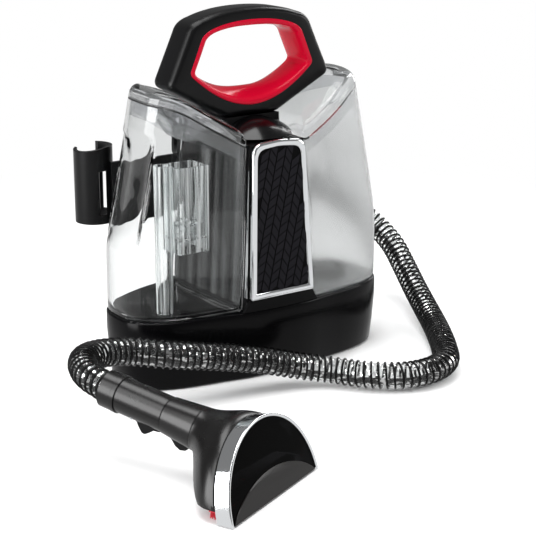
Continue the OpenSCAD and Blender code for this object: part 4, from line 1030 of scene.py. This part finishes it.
attribute.data.foreach_set("vector", [v for t in turns for v in t])
tiles = grown("panel_tiles", placed("tile_spots", mesh), tree, values)
fitted(tiles, "machine")


# ---- Hand tool: grip
# The hose ends in a collar on a two-part satin black grip, screwed round a suction tube; a
# trigger under it works the spray valve.
# the grip's ABS has a warmer black than the machine's
graphite_abs = plastic("satin graphite ABS", "#070606", 0.26, 0.05, 0.9, 0.04, shine=0.4)
for node in ("hose_collar", "grip_upper", "grip_lower", "grip_tube", "tool_neck"):
    dressed(node, graphite_abs, 0.5)
for node in ("trigger", "tool_release"):
    dressed(node, satin_abs, 1.0)
dressed("trigger_pin", zinc_steel, 0.1)
dressed("spray_valve", natural_pp, 0.2)


# ---- Hand tool: nozzle
# A flared satin black body behind a chrome arch band; the mouth is closed in front by a dark
# smoky window, and a red nylon brush strip stands under the body.
# the window is nearly black, its lip a little greyer; the brush is nylon dyed in the mass
smoked = clear("smoked window SAN", "#0c0c0d", 0.03, 1.10, "#2a2b2d", veil=0.1)
lip_grey = plastic("smoky lip", "#1b1918", 0.30, 0.05, 2.0, 0.03, shine=0.25)
red_nylon = plastic("red nylon bristle", "#c4122a", 0.42, 0.08, 1.0, 0.05, shift=0.1)

TOOL_AT, TOOL_TURN = (-0.166, -0.291, 0), radians(24.4)
TOOL_FRAME = Matrix.Translation(TOOL_AT) @ Matrix.Rotation(TOOL_TURN, 4, "Z")
NOZZLE_LEAN = radians(15)
NOZZLE_FRAME = TOOL_FRAME @ Matrix.Rotation(-NOZZLE_LEAN, 4, "X")
GRIP_PITCH = radians(10.7)
GRIP_AT = Vector((0.100, 0.0483))
ARCH_R = 0.066
ARCH_MID = 0.026
ARCH_LOW = 0.004
TRIM_D = 0.014
NECK_R, NECK_L = 0.0185, 0.030
FLARE_DELAY = 1.4
UPPER_START, UPPER_RUN = 0.3, 0.9
SOLE_Z = 0.010
BODY_WALL = 0.0024
BODY_N = 112
BODY_STEPS = 48


def arch_radius(w):
    """Distance from the arch's middle to its outline, which is flat below."""
    reach = -ARCH_MID * sin(w) + sqrt(ARCH_R**2 - (ARCH_MID * cos(w)) ** 2)
    if sin(w) < 0:
        return min(reach, (ARCH_MID - ARCH_LOW) / -sin(w))
    return reach


def eased(s):
    """A share that starts and ends gently."""
    return s * s * (3 - 2 * s)


def body_ring(s):
    """An outline of the body, a share of the way from the arch to the neck."""
    lean = NOZZLE_LEAN + (-GRIP_PITCH - NOZZLE_LEAN) * s
    sine, cosine = sin(NOZZLE_LEAN), cos(NOZZLE_LEAN)
    front = Vector((ARCH_MID * sine + TRIM_D * cosine, ARCH_MID * cosine - TRIM_D * sine))
    back = GRIP_AT - NECK_L * Vector((cos(GRIP_PITCH), sin(GRIP_PITCH)))
    middle = front.lerp(back, s)
    ring = []
    for k in range(BODY_N):
        w = 2 * pi * (k + 0.5) / BODY_N
        above = min(1.0, max(0.0, (sin(w) + UPPER_START) / UPPER_RUN))
        flare = eased(s**FLARE_DELAY) * (1 - above) + (s + eased(s)) / 2 * above
        r = arch_radius(w) * (1 - flare) + NECK_R * flare
        up = r * sin(w)
        y, z = middle.x + up * sin(lean), middle.y + up * cos(lean)
        ring.append(TOOL_FRAME @ Vector((r * cos(w), y, z)))
    return ring


rings = [body_ring(i / BODY_STEPS) for i in range(BODY_STEPS + 1)]
body = lofted(
    "nozzle_body", rings, graphite_abs, "tool_head", "gloss_black_shell", "tool_body", sharp=60.0
)
# the loft's end caps go, and the sole is cut level and closed
shape = bmesh.new()
shape.from_mesh(body.data)
bmesh.ops.delete(shape, geom=[f for f in shape.faces if len(f.verts) > 4], context="FACES_ONLY")
edge = cut(shape, (0, 0, SOLE_Z), (0, 0, 1), clear_inner=True)["geom_cut"]
rim = [e for e in edge if isinstance(e, bmesh.types.BMEdge)]
bmesh.ops.holes_fill(shape, edges=rim)
bmesh.ops.recalc_face_normals(shape, faces=shape.faces)
shape.to_mesh(body.data)
shape.free()
body.data.set_sharp_from_angle(angle=radians(40))
skin = body.modifiers.new("moulded wall", "SOLIDIFY")
skin.thickness = BODY_WALL
skin.offset = -1.0

dressed("tool_trim", chrome, 0.8, steps=3)
dressed("tool_window", smoked, 0.4)

# the brush: four rows of nylon strands, a little splayed, set in a moulded strip
BRUSH_HALF, BRUSH_Y, BRUSH_W = 0.058, 0.0225, 0.008
STRIP_Z = 0.0055
STRAND_TOP, STRAND_END, STRAND_R = 0.0062, 0.0006, 0.00042
STRAND_COLUMNS, STRAND_ROWS, STRAND_CORNERS = 80, 4, 6
STRAND_FIELD = (0.979, 0.72, 1.0)
SPLAY, SPLAY_SEED = (0.10, 0.10, 0.0), 7


def raised(tree, shape, height):
    """The shape at another height."""
    inputs = {"Geometry": shape, "Translation": xyz(tree, z=height)}
    return add(tree, "GeometryNodeTransform", inputs)


values = {
    "Strip Length": 2 * BRUSH_HALF,
    "Strip Width": BRUSH_W,
    "Strip Height": SOLE_Z - STRIP_Z,
    "Strand Length": STRAND_TOP - STRAND_END,
    "Strand Radius": STRAND_R,
    "Columns": STRAND_COLUMNS,
    "Rows": STRAND_ROWS,
    "Splay": SPLAY,
    "Finish": red_nylon,
}
tree, given = node_tree("brush strands", values)
long, wide, high = given["Strip Length"], given["Strip Width"], given["Strip Height"]
columns, rows = given["Columns"], given["Rows"]
inputs = {"Size X": long, "Size Y": wide, "Vertices X": columns, "Vertices Y": rows}
field = add(tree, "GeometryNodeMeshGrid", inputs)
tuck = vectors(tree, "MULTIPLY", STRAND_FIELD, add(tree, "GeometryNodeInputPosition"))
roots = add(tree, "GeometryNodeSetPosition", {"Geometry": field, "Position": tuck})
thick, deep = given["Strand Radius"], given["Strand Length"]
inputs = {"Vertices": STRAND_CORNERS, "Radius Top": thick, "Radius Bottom": thick, "Depth": deep}
strand = add(tree, "GeometryNodeMeshCone", inputs)
hung = raised(tree, strand, maths(tree, "MULTIPLY", deep, -1.0))
least, most = vectors(tree, "SCALE", given["Splay"], Scale=-1.0), given["Splay"]
inputs = {0: least, 1: most, "Seed": SPLAY_SEED}
splay = add(tree, "FunctionNodeRandomValue", inputs, data_type="FLOAT_VECTOR")
inputs = {"Points": roots, "Instance": hung, "Rotation": splay}
strands = add(tree, "GeometryNodeInstanceOnPoints", inputs)
block = add(tree, "GeometryNodeMeshCube", {"Size": xyz(tree, long, wide, high)})
strip = raised(tree, block, maths(tree, "MULTIPLY", high, 0.5))
both = add(tree, "GeometryNodeJoinGeometry")
for part in (strip, strands):
    tree.links.new(part.outputs[0], both.inputs[0])
add(tree, "NodeGroupOutput", {0: real(tree, both, given["Finish"])})
source = placed("brush_place", bpy.data.meshes.new("brush_place"))
brush = grown("brush_strands", source, tree, values)
brush.data.transform(TOOL_FRAME @ Matrix.Translation((0, BRUSH_Y, STRIP_Z)))
fitted(brush, "tool_head", "tool_brush")

dressed("spray_tip", natural_pp, 0.2)

# the lip: a lens-shaped thickening along the window's lower edge
LIP_HALF, LIP_RISE, LIP_Z = 0.0615, 0.0225, 0.0012
LIP_BACK, LIP_FRONT = 0.0015, 0.0006
LIP_EDGE, LIP_EDGE_SHARE = 0.0004, 0.96
LIP_N, LIP_POWER = 40, 0.8
outline = []
for k in range(LIP_N + 1):
    t = 2 * k / LIP_N - 1
    outline.append((LIP_HALF * t, LIP_Z + LIP_RISE * (1 - t * t) ** LIP_POWER))
outline.append((0.0, LIP_Z))
rings = [
    [NOZZLE_FRAME @ Vector((x, y, LIP_Z + (z - LIP_Z) * share)) for x, z in outline]
    for y, share in ((LIP_BACK, 1.0), (LIP_FRONT + LIP_EDGE, 1.0), (LIP_FRONT, LIP_EDGE_SHARE))
]
lofted("window_lip", rings, lip_grey, "tool_head", "smoked_window", sharp=30.0)


# ---- Studio
# A pale floor that fades into a white sky, and five soft lamps: two on the left, a strip and a
# box on the right and one overhead, at a plain level, so that a colour renders as it is written.
FLOOR_HALF, FLOOR_DROP = 6, 0.0005
MOTTLE_SCALE = 3.0
FADE_START, FADE_END = 0.35, 0.85
MIRRORED_FLOOR = 0.8
SKY, SKY_FILL, SKY_MIRRORED = 1.0, 0.5, 0.22
LAMP_AIM = Vector((0, -0.05, 0.12))


def bounced(tree, kind):
    """Whether a ray has bounced in that way before."""
    depth = add(tree, "ShaderNodeLightPath").outputs[kind + " Depth"]
    return maths(tree, "GREATER_THAN", depth, 0.5)


floor_mesh = bpy.data.meshes.new("floor")
corners = [(-1, -1), (1, -1), (1, 1), (-1, 1)]
floor_mesh.from_pydata([(FLOOR_HALF * x, FLOOR_HALF * y, 0) for x, y in corners], [], [range(4)])
floor = placed("floor", floor_mesh)
floor.location.z = -FLOOR_DROP
# matt paper near the machine, plain white further off, and a little darker where it is mirrored
pale, tree, place = blank("pale studio floor")
shade = tinted(tree, noise(tree, place, MOTTLE_SCALE), linear("#f6f6f6"), linear("#f9f9f9"))
matt = add(tree, "ShaderNodeBsdfDiffuse", {"Color": shade})
away = vectors(tree, "LENGTH", place).outputs["Value"]
fade = ranged(tree, away, FADE_START, FADE_END, smooth=True)
sweep = add(tree, "ShaderNodeEmission", {"Color": WHITE, "Strength": 1.0})
dusk = add(tree, "ShaderNodeEmission", {"Color": WHITE, "Strength": MIRRORED_FLOOR})
paper = mixed(tree, fade, matt, sweep)
ground = mixed(tree, bounced(tree, "Glossy"), paper, dusk)
add(tree, "ShaderNodeOutputMaterial", {"Surface": ground})
floor_mesh.materials.append(pale)

world = bpy.data.worlds.new("studio")
world.use_nodes = True
scene.world = world
tree = world.node_tree
tree.nodes.clear()
white, fill, dark = (
    add(tree, "ShaderNodeBackground", {"Color": WHITE, "Strength": strength})
    for strength in (SKY, SKY_FILL, SKY_MIRRORED)
)
behind = mixed(tree, bounced(tree, "Diffuse"), white, fill)
sky = mixed(tree, bounced(tree, "Glossy"), behind, dark)
add(tree, "ShaderNodeOutputWorld", {"Surface": sky})

for name, at, size, power in (
    ("left_box", (-1.7, 0.1, 0.5), (1.0, 1.0), 25.0),
    ("left_high", (-1.25, -0.15, 1.25), (0.6, 0.7), 6.0),
    ("right_strip", (1.2, 0.5, 0.8), (0.25, 1.4), 9.0),
    ("top_box", (-0.2, 0.0, 1.8), (1.6, 1.0), 28.0),
    ("front_box", (1.6, -0.95, 0.65), (0.7, 0.7), 9.0),
):
    lamp = bpy.data.lights.new(name, "AREA")
    lamp.shape = "RECTANGLE"
    lamp.size, lamp.size_y = size
    lamp.energy = power
    light = placed(name, lamp)
    light.location = at
    light.rotation_mode = "QUATERNION"
    light.rotation_quaternion = (LAMP_AIM - Vector(at)).to_track_quat("-Z", "Y")
